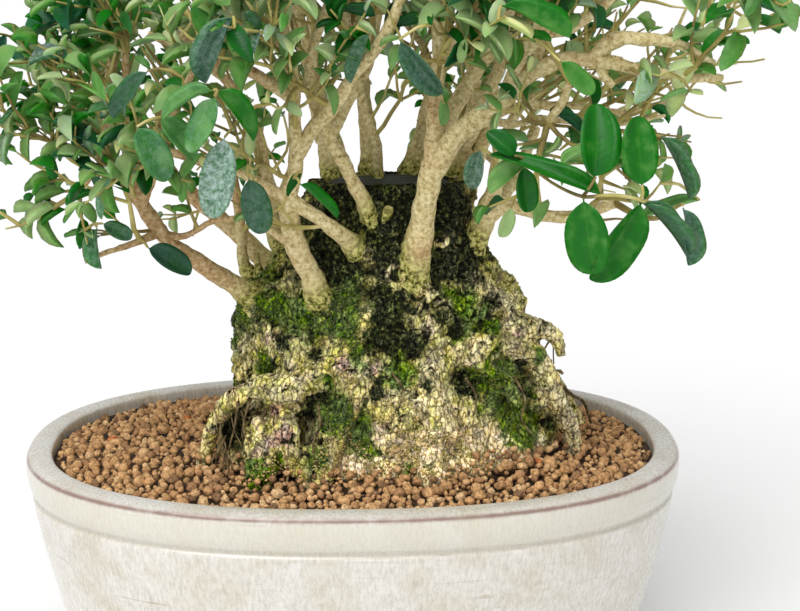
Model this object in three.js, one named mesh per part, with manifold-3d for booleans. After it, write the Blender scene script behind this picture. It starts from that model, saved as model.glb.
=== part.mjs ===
// Olive bonsai: an old mossy stump with leafy shoots, planted in a deep oval glazed pot.
// Millimetres, +Z up. The origin is on the standing surface, under the middle of the pot.
import * as THREE from 'three';
import { mergeVertices } from 'three/addons/utils/BufferGeometryUtils.js';
import Module from 'manifold-3d';

const wasm = await Module();
wasm.setup();

// ---------------------------------------------------------------- driving dimensions

const SEAT_GAP = 0.3;             // clearance between two pieces that touch
const SLIVER = 0.02;              // faces finer than this are left out of a finished piece
const FILL_CLEARANCE = 0.4;       // between the soil layers and the pot's wall

const POT_HALF_LENGTH = 185;      // outer edge of the rim, along X
const POT_HALF_WIDTH = 137;       // outer edge of the rim, along Y
const POT_OVAL_POWER = 2.3;       // 2 is an ellipse, more is squarer
const POT_SIDES = 36;
const POT_CORE_RADIUS = 100;      // inside this the rings shrink towards the middle
const RIM_HEIGHT = 125;
const FOOT_HEIGHT = 10;
const FOOT_INNER = 134;           // the foot ring, along the long axis
const FOOT_OUTER = 146;
const SIDE_NOTCH = 70;            // gaps that part the foot ring into four feet
const LONG_NOTCH = 110;
const FLOOR_TOP = 20;
const DRAIN_HOLE_RADIUS = 14;
const DRAIN_HOLE_X = 62;

const DRAINAGE_TOP = 32;          // top of the coarse layer on the pot's floor
const SOIL_EDGE_HEIGHT = 118;     // soil surface against the pot's wall
const SOIL_MOUND_HEIGHT = 123.5;  // soil surface against the trunk

const MESH_SIZE = 44;
const MESH_THICKNESS = 1.2;
const MESH_HOLES = 3;
const MESH_BAR = 2.6;
const CLIP_LEG_SPREAD = 11;       // each leg of a clip, from the middle of its hole
const CLIP_LEG_END = 12;          // the legs end inside the hole, above the feet
const WIRE_RADIUS = 1;

const TRUNK_TOP = 272;
const TRUNK_SIDES = 20;
const BRANCH_SIDES = 5;

const SEAL_THICKNESS = 2.2;
const SEAL_LENGTH = 68;
const SEAL_WIDTH = 54;
const SEAL_LIFT = 0.35;           // above the saw cut
const MOSS_THICKNESS = 2.8;
const MOSS_GAP = 0.35;

const LEAF_LENGTH = 29;
const LEAF_WIDTH = 13;
const LEAF_THICKNESS = 1.1;
const LEAF_PAIRS = 3;
const LEAF_BASE_DEPTH = 0.4;      // how far a leaf's foot reaches into its twig
const LEAF_SPLAY = 1.05;          // radians between twig and leaf at the foot of a shoot
const TIP_LEAF_SPLAY = 0.45;
const SHOOT_LENGTH = 56;
const SHOOT_STRAIGHT = 0.45;      // share of a shoot that runs on in line with its limb
const FIRST_LEAVES_AT = 0.14;     // share of the twig below its first leaves
const LEAF_TURN = 0.9;            // radians that the leaves turn from one shoot to the next
const TWIG_TIP_RADIUS = 0.9;

const CROWN_CENTRE = new THREE.Vector3(-5, -14, 262);
const CROWN_REACH = new THREE.Vector3(148, 126, 192);   // how far the limbs grow from it
const CROWN_TIPS = 34;
const CROWN_TOP_UP = 0.97;        // upward part of the steepest and of the flattest direction
const CROWN_RIM_UP = -0.02;
const LIMB_STARTS = [0.62, 0.8, 0.97];   // where along a branch limbs may leave it
const LIMB_CROWDING = 30;         // how much further a limb reaches to avoid a taken start
const LIMB_TIP_RADIUS = 1.9;
const SEAT_CLEARING = 6;          // wood this near its limb's tip doesn't stop a shoot's leaves

// ---------------------------------------------------------------- materials

const MATERIALS = {
  glaze: new THREE.MeshStandardMaterial({ color: '#e3ddd2', roughness: 0.25, metalness: 0 }),
  akadama: new THREE.MeshStandardMaterial({ color: '#946f50', roughness: 0.95, metalness: 0 }),
  pumice: new THREE.MeshStandardMaterial({ color: '#b3a999', roughness: 0.95, metalness: 0 }),
  bark: new THREE.MeshStandardMaterial({ color: '#7b6f4c', roughness: 0.9, metalness: 0 }),
  paste: new THREE.MeshStandardMaterial({ color: '#3b3d3c', roughness: 0.7, metalness: 0 }),
  moss: new THREE.MeshStandardMaterial({ color: '#5f7a2c', roughness: 1, metalness: 0 }),
  leaf: new THREE.MeshStandardMaterial({ color: '#1d5a1c', roughness: 0.35, metalness: 0 }),
  plastic: new THREE.MeshStandardMaterial({ color: '#2b2d2c', roughness: 0.6, metalness: 0 }),
  wire: new THREE.MeshStandardMaterial({ color: '#8c8f93', roughness: 0.4, metalness: 1 }),
};

// ---------------------------------------------------------------- solids

function signedVolume(positions, index) {
  const a = new THREE.Vector3();
  const b = new THREE.Vector3();
  const c = new THREE.Vector3();
  let volume = 0;
  for (let i = 0; i < index.length; i += 3) {
    a.fromArray(positions, 3 * index[i]);
    b.fromArray(positions, 3 * index[i + 1]);
    c.fromArray(positions, 3 * index[i + 2]);
    volume += a.dot(b.cross(c)) / 6;
  }
  return volume;
}

// A closed geometry as a manifold solid, with its faces turned outwards.
function toSolid(geometry) {
  const bare = new THREE.BufferGeometry();
  bare.setAttribute('position', geometry.getAttribute('position'));
  bare.setIndex(geometry.index);
  const merged = mergeVertices(bare, 1e-4);
  const positions = Float32Array.from(merged.getAttribute('position').array);
  const faces = [];
  for (let i = 0; i < merged.index.count; i += 3) {
    const corners = [0, 1, 2].map((k) => merged.index.getX(i + k));
    if (new Set(corners).size === 3) faces.push(...corners);
  }
  if (signedVolume(positions, faces) < 0) faces.reverse();
  const mesh = new wasm.Mesh({ numProp: 3, vertProperties: positions, triVerts: Uint32Array.from(faces) });
  return new wasm.Manifold(mesh);
}

function toGeometry(solid) {
  const mesh = solid.simplify(SLIVER).getMesh();
  const geometry = new THREE.BufferGeometry();
  geometry.setAttribute('position', new THREE.BufferAttribute(Float32Array.from(mesh.vertProperties), 3));
  geometry.setIndex(new THREE.BufferAttribute(Uint32Array.from(mesh.triVerts), 1));
  geometry.computeVertexNormals();
  return geometry;
}

const union = (solids) => wasm.Manifold.union(solids);

function largestBody(solid) {
  return solid.decompose().reduce((best, body) => (body.volume() > best.volume() ? body : best));
}

function boxSolid(width, depth, height, x, y, z) {
  return toSolid(new THREE.BoxGeometry(width, depth, height).translate(x, y, z));
}

function rodSolid(radius, height, x, y, z, sides = 20) {
  const rod = new THREE.CylinderGeometry(radius, radius, height, sides).rotateX(Math.PI / 2);
  return toSolid(rod.translate(x, y, z));
}

function blobSolid(centre, radii, sides = 12, grow = 0) {
  const blob = new THREE.SphereGeometry(1, sides, Math.round(sides * 0.6)).rotateX(Math.PI / 2);
  blob.scale(radii[0] + grow, radii[1] + grow, radii[2] + grow);
  return toSolid(blob.translate(...centre));
}

// A closed tapering tube along hand-placed points, each [x, y, z, radius].
function limbSolid(points, sides, steps, grow = 0) {
  const curve = new THREE.CatmullRomCurve3(points.map(([x, y, z]) => new THREE.Vector3(x, y, z)));
  const girth = new THREE.CatmullRomCurve3(points.map((p, i) => new THREE.Vector3(i, p[3], 0)));
  const frames = curve.computeFrenetFrames(steps, false);
  const tube = new THREE.CylinderGeometry(1, 1, steps, sides, steps);
  const position = tube.getAttribute('position');
  const place = new THREE.Vector3();
  for (let i = 0; i < position.count; i += 1) {
    const ring = Math.round(position.getY(i) + steps / 2);
    const radius = girth.getPoint(ring / steps).y + grow;
    curve.getPoint(ring / steps, place);
    place.addScaledVector(frames.normals[ring], position.getX(i) * radius);
    place.addScaledVector(frames.binormals[ring], -position.getZ(i) * radius);
    if (ring === 0) place.addScaledVector(frames.tangents[0], -grow);
    if (ring === steps) place.addScaledVector(frames.tangents[steps], grow);
    position.setXYZ(i, place.x, place.y, place.z);
  }
  return toSolid(tube);
}

// ---------------------------------------------------------------- pot

// A point of the pot's plan: radius counts along the long axis, and the wall keeps an
// even thickness all round, because each ring is inset square to the rim's outline.
function ovalPoint(angle, radius) {
  const reach = Math.max(radius, POT_CORE_RADIUS);
  const power = 2 / POT_OVAL_POWER;
  const cos = Math.cos(angle);
  const sin = Math.sin(angle);
  const x = POT_HALF_LENGTH * Math.sign(cos) * Math.abs(cos) ** power;
  const y = POT_HALF_WIDTH * Math.sign(sin) * Math.abs(sin) ** power;
  const slopeX = Math.sign(x) * (Math.abs(x) / POT_HALF_LENGTH) ** (POT_OVAL_POWER - 1) / POT_HALF_LENGTH;
  const slopeY = Math.sign(y) * (Math.abs(y) / POT_HALF_WIDTH) ** (POT_OVAL_POWER - 1) / POT_HALF_WIDTH;
  const inset = (POT_HALF_LENGTH - reach) / Math.hypot(slopeX, slopeY);
  const shrink = radius / reach;
  return [(x - slopeX * inset) * shrink, (y - slopeY * inset) * shrink];
}

function ovalSolid(profile) {
  const points = profile.map(([radius, height]) => new THREE.Vector2(radius, height));
  const lathe = new THREE.LatheGeometry(points, POT_SIDES).rotateX(Math.PI / 2);
  const position = lathe.getAttribute('position');
  for (let i = 0; i < position.count; i += 1) {
    const angle = Math.atan2(position.getY(i), position.getX(i));
    const radius = Math.hypot(position.getX(i), position.getY(i));
    const [x, y] = ovalPoint(angle, radius);
    position.setXYZ(i, x, y, position.getZ(i));
  }
  return toSolid(lathe);
}

const POT_INNER_WALL = [[135, FLOOR_TOP], [150, 27], [160, 50], [167, 84], [170, 108], [171, 119]];

function potSolid() {
  const profile = [
    [0, FOOT_HEIGHT], [FOOT_INNER - 2, FOOT_HEIGHT], [FOOT_INNER, 0], [FOOT_OUTER, 0],
    [FOOT_OUTER + 3, FOOT_HEIGHT], [159, 16], [166, 28], [171, 46], [174.5, 60], [178, 74],
    [181, 88], [183, 100], [182, 102.5], [184.5, 106], [185.6, 113], [185, 121.5],
    [182, 124], [176, RIM_HEIGHT], [172, RIM_HEIGHT - 0.4],
    ...[...POT_INNER_WALL].reverse(), [0, FLOOR_TOP],
  ];
  const notches = [
    boxSolid(4 * POT_HALF_LENGTH, SIDE_NOTCH, 2 * FOOT_HEIGHT, 0, 0, 0),
    boxSolid(LONG_NOTCH, 4 * POT_HALF_WIDTH, 2 * FOOT_HEIGHT, 0, 0, 0),
  ];
  const holes = [-1, 1].map((side) =>
    rodSolid(DRAIN_HOLE_RADIUS, 2 * FLOOR_TOP, side * DRAIN_HOLE_X, 0, FLOOR_TOP));
  return ovalSolid(profile).subtract(union([...notches, ...holes]));
}

// ---------------------------------------------------------------- trunk

// Outline of the stump at each height: [z, left, right, front, back].
const STUMP_OUTLINE = [
  [64, -52, 84, -52, 44],
  [78, -70, 104, -72, 62],
  [100, -74, 110, -78, 70],
  [122, -62, 106, -72, 62],
  [136, -52, 102, -68, 58],
  [150, -56, 104, -64, 55],
  [164, -68, 105, -63, 54],
  [180, -70, 100, -61, 54],
  [196, -69, 93, -57, 52],
  [210, -60, 88, -53, 49],
  [222, -45, 81, -49, 46],
  [236, -33, 73, -46, 43],
  [252, -27, 67, -42, 40],
  [TRUNK_TOP, -23, 64, -37, 36],
];
const STUMP_FLUTES = 7;
const STUMP_FLUTE_DEPTH = 0.055;

const BURLS = [
  { centre: [-46, -4, 207], radii: [17, 27, 15] },
  { centre: [4, -50, 202], radii: [17, 13, 17] },
  { centre: [70, -44, 192], radii: [11, 9, 11] },
  { centre: [79, -8, 211], radii: [15, 24, 15] },
  { centre: [30, -52, 150], radii: [34, 18, 26] },
];

// Surface roots: [x, y, z, radius] from the stump down into the soil.
const ROOTS = [
  [
    [0, -50, 184, 12], [-32, -60, 175, 9], [-56, -57, 169, 7.4], [-71, -50, 157, 6],
    [-80, -45, 139, 5.4], [-87, -36, 106, 4.6],
  ],
  [[-28, -48, 166, 10], [-42, -62, 148, 9], [-50, -72, 128, 8], [-54, -78, 106, 6]],
  [[-10, -52, 160, 11], [-18, -66, 140, 10], [-22, -76, 118, 8], [-24, -82, 102, 6]],
  [[36, -54, 190, 8], [42, -66, 166, 8], [43, -74, 140, 8], [40, -82, 110, 6]],
  [
    [92, -14, 186, 11], [103, -27, 174, 7], [112, -28, 158, 5.6], [120, -25, 138, 5],
    [128, -21, 106, 4.6],
  ],
  [[80, -24, 196, 10], [99, -24, 195, 6.5], [112, -22, 190, 4.4], [117, -22, 178, 2.6]],
  [[100, 6, 172, 8], [116, 12, 152, 5], [128, 16, 132, 4], [138, 18, 106, 3.5]],
  [[-44, 30, 172, 12], [-55, 50, 150, 10], [-64, 66, 128, 8], [-72, 76, 104, 6]],
  [[16, 38, 176, 14], [20, 62, 152, 12], [22, 80, 128, 9], [24, 92, 104, 6]],
  [[66, 34, 176, 13], [88, 52, 152, 11], [104, 66, 128, 8], [114, 74, 104, 6]],
  [[-48, 8, 176, 10], [-58, 20, 156, 9], [-66, 30, 132, 7], [-72, 36, 106, 5]],
];

// Main branches: [x, y, z, radius] from the stump outwards.
const BRANCHES = {
  left_low: [
    [-42, -10, 206, 6], [-60, -22, 216, 5], [-81, -30, 232, 4.7], [-101, -38, 249, 4.3],
    [-113, -45, 268, 3.8], [-129, -58, 300, 3],
  ],
  left_upright: [
    [-16, -40, 208, 7], [-22, -48, 226, 6], [-29, -54, 246, 5.6], [-35, -60, 272, 5.2],
    [-30, -66, 298, 4.6], [-31, -80, 350, 3.4],
  ],
  left_inner: [[8, -34, 236, 5], [-1, -45, 246, 4.3], [-14, -56, 260, 4], [-34, -62, 276, 3.8]],
  front_slim: [
    [14, -30, 246, 4.6], [10, -40, 262, 4.2], [3, -46, 277, 4], [-13, -54, 307, 3.6],
    [-24, -64, 336, 2.8],
  ],
  front_main: [
    [31, -38, 214, 9.5], [33, -47, 234, 8], [36, -56, 258, 7.6], [41, -66, 290, 6.6],
    [42, -66, 306, 5],
  ],
  front_fork_up: [[41, -66, 290, 5], [42, -62, 318, 4.4], [44, -56, 338, 3.9], [46, -48, 372, 3]],
  front_fork_right: [
    [40, -64, 286, 7], [54, -75, 310, 6.4], [68, -84, 324, 5.8], [86, -94, 340, 5],
    [108, -102, 352, 4.2], [134, -106, 350, 3.4],
  ],
  right_low: [
    [58, -10, 222, 7], [65, -19, 236, 5.6], [71, -25, 256, 5], [77, -31, 278, 4.4],
    [80, -36, 304, 3.6],
  ],
  right_reach: [
    [70, -25, 254, 4.4], [84, -30, 265, 3.8], [99, -36, 261, 3.5], [116, -42, 260, 3.2],
    [140, -52, 270, 2.8],
  ],
  right_back: [[54, 4, 244, 5.6], [61, 10, 258, 4.8], [68, 15, 276, 4.3], [84, 24, 312, 3.4]],
  left_thin: [[-50, 14, 208, 4], [-62, 20, 222, 2.8], [-63, 23, 240, 2.6], [-68, 32, 272, 2.3]],
  left_back: [[-34, 14, 222, 5.6], [-43, 20, 238, 4.8], [-47, 28, 258, 4.3], [-56, 44, 302, 3.4]],
  top_left: [[-8, 18, 256, 6], [-13, 24, 282, 5], [-18, 30, 312, 4.2], [-26, 38, 352, 3.2]],
  top_middle: [[10, 24, 258, 5.6], [10, 30, 288, 4.8], [6, 38, 326, 3.9], [0, 44, 366, 3]],
  top_right: [[30, 24, 256, 5.8], [38, 32, 286, 5], [48, 40, 322, 4], [56, 46, 364, 3]],
  top_far_right: [[48, 18, 252, 5], [64, 28, 284, 4.2], [84, 38, 314, 3.6], [110, 48, 340, 2.8]],
  back_low_left: [
    [-20, 18, 200, 7], [-50, 36, 222, 6], [-70, 48, 238, 5], [-92, 60, 254, 4.2],
    [-116, 70, 280, 3.2],
  ],
  back_low: [[8, 36, 218, 6.5], [4, 62, 240, 5.2], [-4, 92, 262, 4.2], [-12, 116, 292, 3.2]],
  back_low_right: [[56, 32, 216, 6.5], [78, 58, 238, 5.2], [98, 82, 260, 4.2], [112, 98, 290, 3.2]],
};
const STUBS = [
  [[16, -34, 252, 3.4], [18, -44, 262, 3], [19, -47, 267, 2.4]],
  [[-50, 4, 214, 3], [-54, 6, 225, 2], [-55, 6, 232, 1.6]],
  [[-29, -54, 246, 2.6], [-46, -50, 257, 1.8], [-62, -42, 264, 1.5]],
];

function stumpSolid(grow) {
  const rings = STUMP_OUTLINE.length - 1;
  const barrel = new THREE.CylinderGeometry(1, 1, rings, TRUNK_SIDES, rings).rotateX(Math.PI / 2);
  const position = barrel.getAttribute('position');
  for (let i = 0; i < position.count; i += 1) {
    const ring = Math.round(position.getZ(i) + rings / 2);
    const [z, left, right, front, back] = STUMP_OUTLINE[ring];
    const x = position.getX(i);
    const y = position.getY(i);
    const angle = Math.atan2(y, x);
    const flute = 1 + STUMP_FLUTE_DEPTH * Math.sin(STUMP_FLUTES * angle + z / 40);
    const middleX = (left + right) / 2;
    const middleY = (front + back) / 2;
    const spanX = (right - left) / 2;
    const spanY = (back - front) / 2;
    const lift = ring === 0 ? -grow : 0;
    const raise = ring === rings ? grow : 0;
    const inset = Math.hypot(x, y) > 0.5 ? grow : 0;
    position.setXYZ(
      i,
      middleX + x * spanX * flute + Math.cos(angle) * inset,
      middleY + y * spanY * flute + Math.sin(angle) * inset,
      z + lift + raise,
    );
  }
  return toSolid(barrel);
}

// The rooted base alone, thickened by grow: what moss, soil and sealing paste fit around.
function rootedBase(grow) {
  return union([
    stumpSolid(grow),
    ...BURLS.map(({ centre, radii }) => blobSolid(centre, radii, 8, grow)),
    ...ROOTS.map((points) => limbSolid(points, 6, points.length - 1, grow)),
  ]);
}

// ---------------------------------------------------------------- limbs of the crown

const GOLDEN_ANGLE = Math.PI * (3 - Math.sqrt(5));
const OPEN_FRONT_HEIGHT = 0.42;   // below this the crown stays open towards the front
const OPEN_FRONT_WIDTH = 0.5;
const OPEN_FRONT_FACING = -0.45;

// Directions spread evenly over the crown, from just under the horizontal to the top.
function crownDirections() {
  const directions = [];
  for (let i = 0; i < CROWN_TIPS; i += 1) {
    const up = CROWN_TOP_UP - (i / CROWN_TIPS) * (CROWN_TOP_UP - CROWN_RIM_UP);
    const flat = Math.sqrt(1 - up * up);
    const turn = i * GOLDEN_ANGLE + 0.6;
    directions.push(new THREE.Vector3(flat * Math.cos(turn), flat * Math.sin(turn), up));
  }
  const facesFront = (d) => d.y < OPEN_FRONT_FACING && Math.abs(d.x) < OPEN_FRONT_WIDTH;
  return directions.filter((d) => !(facesFront(d) && d.z < OPEN_FRONT_HEIGHT));
}

// Each limb leaves the nearest main branch near its end and reaches a place in the crown.
function crownLimbs() {
  const carriers = Object.values(BRANCHES).filter((points) => points !== BRANCHES.front_main);
  const starts = carriers.flatMap((points) => {
    const curve = new THREE.CatmullRomCurve3(points.map(([x, y, z]) => new THREE.Vector3(x, y, z)));
    return LIMB_STARTS.map((t) => ({
      place: curve.getPoint(t),
      heading: curve.getTangent(t),
      radius: points[points.length - 1][3] * (1.25 - 0.3 * t),
      uses: 0,
    }));
  });
  return crownDirections().map((direction) => {
    const target = direction.clone().multiply(CROWN_REACH).add(CROWN_CENTRE);
    const turnedAway = (s) => 1 - s.heading.dot(target.clone().sub(s.place).normalize());
    const cost = (s) => s.place.distanceTo(target) * (1 + 0.35 * turnedAway(s)) + LIMB_CROWDING * s.uses;
    const start = starts.reduce((best, s) => (cost(s) < cost(best) ? s : best));
    start.uses += 1;
    const reach = target.distanceTo(start.place);
    const bend = start.place.clone().addScaledVector(start.heading, reach * 0.4);
    bend.lerp(start.place.clone().lerp(target, 0.5), 0.35);
    const curve = new THREE.QuadraticBezierCurve3(start.place, bend, target);
    const radius = Math.min(start.radius, LIMB_TIP_RADIUS * (1 + reach / 120));
    const along = [0, 0.35, 0.7, 1].map((t) => {
      const p = curve.getPoint(t);
      return [p.x, p.y, p.z, radius + (LIMB_TIP_RADIUS - radius) * t];
    });
    return { points: along, tip: target, heading: curve.getTangent(1) };
  });
}

// ---------------------------------------------------------------- leafy shoots

// Spheres that cover a leaf: [share of its length, radius].
const LEAF_SAMPLES = [[0.2, 4.6], [0.5, 6.4], [0.8, 4.8], [0.97, 2.4]];

function leafSolid(base, along, across) {
  const face = new THREE.Vector3().crossVectors(along, across).normalize();
  const leaf = new THREE.SphereGeometry(1, 4, 2);
  leaf.rotateX(Math.PI / 2).scale(LEAF_WIDTH / 2, LEAF_THICKNESS / 2, LEAF_LENGTH / 2);
  const pose = new THREE.Matrix4().makeBasis(across, face.clone().negate(), along);
  pose.setPosition(base.clone().addScaledVector(along, LEAF_LENGTH / 2 - LEAF_BASE_DEPTH));
  return toSolid(leaf.applyMatrix4(pose));
}

const isClear = (spheres, spot) =>
  spheres.every((s) => s.centre.distanceTo(spot.centre) > s.radius + spot.radius);

// One shoot: a slim twig with opposite leaves, each pair turned square to the last.
function shootSolid(tip, heading, number, obstacles) {
  const start = tip.clone().addScaledVector(heading, SEAT_GAP);
  const out = tip.clone().sub(CROWN_CENTRE).normalize();
  const lean = heading.clone().lerp(out, 0.5).add(new THREE.Vector3(0, 0, 0.15)).normalize();
  const middle = start.clone().addScaledVector(heading, SHOOT_LENGTH * SHOOT_STRAIGHT);
  const end = middle.clone().addScaledVector(lean, SHOOT_LENGTH * (1 - SHOOT_STRAIGHT));
  const curve = new THREE.QuadraticBezierCurve3(start, middle, end);
  const twig = [0, 0.33, 0.66, 1].map((t) => {
    const p = curve.getPoint(t);
    return [p.x, p.y, p.z, LIMB_TIP_RADIUS + (TWIG_TIP_RADIUS - LIMB_TIP_RADIUS) * t];
  });
  const own = [];
  const pieces = [limbSolid(twig, 5, 3)];
  for (let pair = 0; pair <= LEAF_PAIRS; pair += 1) {
    const t = FIRST_LEAVES_AT + ((1 - FIRST_LEAVES_AT) * pair) / LEAF_PAIRS;
    const stem = curve.getPoint(t);
    const forward = curve.getTangent(t);
    const side = new THREE.Vector3().crossVectors(forward, new THREE.Vector3(0, 0, 1)).normalize();
    side.applyAxisAngle(forward, number * LEAF_TURN + 0.3 + (pair % 2) * (Math.PI / 2));
    for (const hand of [-1, 1]) {
      const splay = pair === LEAF_PAIRS ? TIP_LEAF_SPLAY : LEAF_SPLAY - 0.3 * t;
      const along = forward.clone().multiplyScalar(Math.cos(splay));
      along.addScaledVector(side, hand * Math.sin(splay));
      const across = new THREE.Vector3().crossVectors(forward, side).normalize();
      const spots = LEAF_SAMPLES.map(([share, radius]) => ({
        centre: stem.clone().addScaledVector(along, LEAF_LENGTH * share),
        radius,
      }));
      if (!spots.every((spot) => isClear(obstacles, spot))) continue;
      pieces.push(leafSolid(stem.clone().addScaledVector(side, hand * 0.35), along, across));
      own.push(...spots);
    }
  }
  for (let t = 0; t <= 1; t += 0.1) own.push({ centre: curve.getPoint(t), radius: 2.4 });
  return { solid: largestBody(union(pieces)), spheres: own };
}

// Spheres strung along a limb, which leaves of the shoots keep clear of.
function strungSpheres(points) {
  const curve = new THREE.CatmullRomCurve3(points.map(([x, y, z]) => new THREE.Vector3(x, y, z)));
  const count = Math.ceil(curve.getLength() / 4);
  return curve.getPoints(count).map((centre) => ({ centre, radius: points[0][3] }));
}

// ---------------------------------------------------------------- assembly

const olive_bonsai = new THREE.Group();

function addNode(name, solid, material) {
  const mesh = new THREE.Mesh(toGeometry(solid), MATERIALS[material]);
  mesh.name = name;
  olive_bonsai.add(mesh);
  return mesh;
}

addNode('pot', potSolid(), 'glaze');

// Trunk, roots and limbs grew as one piece.
const limbs = crownLimbs();
const woodPaths = [...Object.values(BRANCHES), ...STUBS];
const trunk = union([
  rootedBase(0),
  ...woodPaths.map((points) => limbSolid(points, BRANCH_SIDES, points.length)),
  ...limbs.map(({ points }) => limbSolid(points, 5, 2)),
]);
addNode('trunk', trunk, 'bark');

// Sealing paste over the flat saw cut on top of the stump.
const snugTrunk = union([
  rootedBase(MOSS_GAP),
  ...woodPaths.map((points) => limbSolid(points, BRANCH_SIDES, points.length, MOSS_GAP)),
]);
const sealDisc = new THREE.CylinderGeometry(1, 1, SEAL_THICKNESS, 22).rotateX(Math.PI / 2);
sealDisc.scale(SEAL_LENGTH / 2, SEAL_WIDTH / 2, 1);
sealDisc.translate(20, -3, TRUNK_TOP + SEAL_LIFT + SEAL_THICKNESS / 2);
addNode('cut_paste', largestBody(toSolid(sealDisc).subtract(snugTrunk)), 'paste');

// Pads of moss wrapped round the stump and its roots.
const MOSS_PADS = {
  moss_left_shoulder: { centre: [-52, -20, 196], radii: [30, 34, 22] },
  moss_front: { centre: [-8, -66, 212], radii: [26, 24, 24] },
  moss_foot: { centre: [6, -72, 146], radii: [30, 22, 20] },
  moss_right: { centre: [76, -48, 158], radii: [28, 30, 26] },
  moss_back: { centre: [20, 58, 176], radii: [44, 26, 34] },
};
const mossSkin = rootedBase(MOSS_GAP + MOSS_THICKNESS).subtract(snugTrunk);
const mossPads = Object.entries(MOSS_PADS).map(([name, { centre, radii }]) => {
  const pad = largestBody(mossSkin.intersect(blobSolid(centre, radii, 9)));
  addNode(name, pad, 'moss');
  return pad;
});

// Drain mesh over each hole, held by a bent wire clip, and the coarse layer on top of them.
function drainMesh(x) {
  const pitch = (MESH_SIZE - MESH_BAR) / MESH_HOLES;
  const z = FLOOR_TOP + SEAT_GAP + MESH_THICKNESS / 2;
  const cells = [];
  for (let i = 0; i < MESH_HOLES; i += 1) {
    for (let j = 0; j < MESH_HOLES; j += 1) {
      const cellX = x + (i - (MESH_HOLES - 1) / 2) * pitch;
      const cellY = (j - (MESH_HOLES - 1) / 2) * pitch;
      cells.push(boxSolid(pitch - MESH_BAR, pitch - MESH_BAR, 3 * MESH_THICKNESS, cellX, cellY, z));
    }
  }
  return boxSolid(MESH_SIZE, MESH_SIZE, MESH_THICKNESS, x, 0, z).subtract(union(cells));
}

const meshTop = FLOOR_TOP + SEAT_GAP + MESH_THICKNESS;

function meshClip(x, grow = 0) {
  const radius = WIRE_RADIUS + grow;
  const across = meshTop + SEAT_GAP + WIRE_RADIUS;
  const legHeight = across - CLIP_LEG_END;
  const barLength = 2 * CLIP_LEG_SPREAD + 2 * radius;
  const bar = new THREE.CylinderGeometry(radius, radius, barLength, 8).rotateZ(Math.PI / 2);
  const legs = [-1, 1].map((side) =>
    rodSolid(radius, legHeight + 2 * grow, x + side * CLIP_LEG_SPREAD, 0, across - legHeight / 2, 8));
  return union([toSolid(bar.translate(x, 0, across)), ...legs]);
}

const fillings = [];              // what the drainage layer is packed around
for (const [name, side] of [['left', -1], ['right', 1]]) {
  const x = side * DRAIN_HOLE_X;
  addNode(`drain_mesh_${name}`, drainMesh(x), 'plastic');
  addNode(`mesh_clip_${name}`, meshClip(x), 'wire');
  const pocket = 2 * (meshTop + SEAT_GAP - FLOOR_TOP);
  fillings.push(boxSolid(MESH_SIZE + 1, MESH_SIZE + 1, pocket, x, 0, FLOOR_TOP));
  fillings.push(meshClip(x, SEAT_GAP));
}

function innerWallRadius(height) {
  const above = POT_INNER_WALL.findIndex(([, z]) => z > height);
  const [lowRadius, lowZ] = POT_INNER_WALL[above - 1];
  const [highRadius, highZ] = POT_INNER_WALL[above];
  return lowRadius + ((highRadius - lowRadius) * (height - lowZ)) / (highZ - lowZ);
}

// A layer that fills the pot from one height to another, and then heaps up to its crown.
function fillSolid(bottom, rim, crown) {
  const heights = [bottom, ...POT_INNER_WALL.map(([, z]) => z).filter((z) => z > bottom && z < rim), rim];
  const side = heights.map((z) => [innerWallRadius(z) - FILL_CLEARANCE, z]);
  return ovalSolid([[0, bottom], ...side, ...crown]);
}

const drainage = fillSolid(FLOOR_TOP + SEAT_GAP, DRAINAGE_TOP, [[0, DRAINAGE_TOP]]);
addNode('drainage_layer', drainage.subtract(union(fillings)), 'pumice');

const soilCrown = [[150, 119.5], [128, 122], [100, SOIL_MOUND_HEIGHT], [0, SOIL_MOUND_HEIGHT]];
const soil = fillSolid(DRAINAGE_TOP + SEAT_GAP, SOIL_EDGE_HEIGHT, soilCrown);
addNode('akadama_soil', largestBody(soil.subtract(union([snugTrunk, ...mossPads]))), 'akadama');

const obstacles = [...woodPaths, ...limbs.map(({ points }) => points)].flatMap(strungSpheres);
limbs.forEach(({ tip, heading }, i) => {
  const name = `leafy_shoot_${String(i + 1).padStart(2, '0')}`;
  const near = obstacles.filter((s) => s.centre.distanceTo(tip) > SEAT_CLEARING);
  const { solid, spheres } = shootSolid(tip, heading, i, near);
  addNode(name, solid, 'leaf');
  obstacles.push(...spheres);
});

export default olive_bonsai;
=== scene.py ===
import math
import random

import bmesh
import bpy
import numpy as np
from bpy.props import FloatProperty, FloatVectorProperty, IntProperty, PointerProperty
from mathutils import Matrix, Quaternion, Vector, noise
from mathutils.bvhtree import BVHTree


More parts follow.
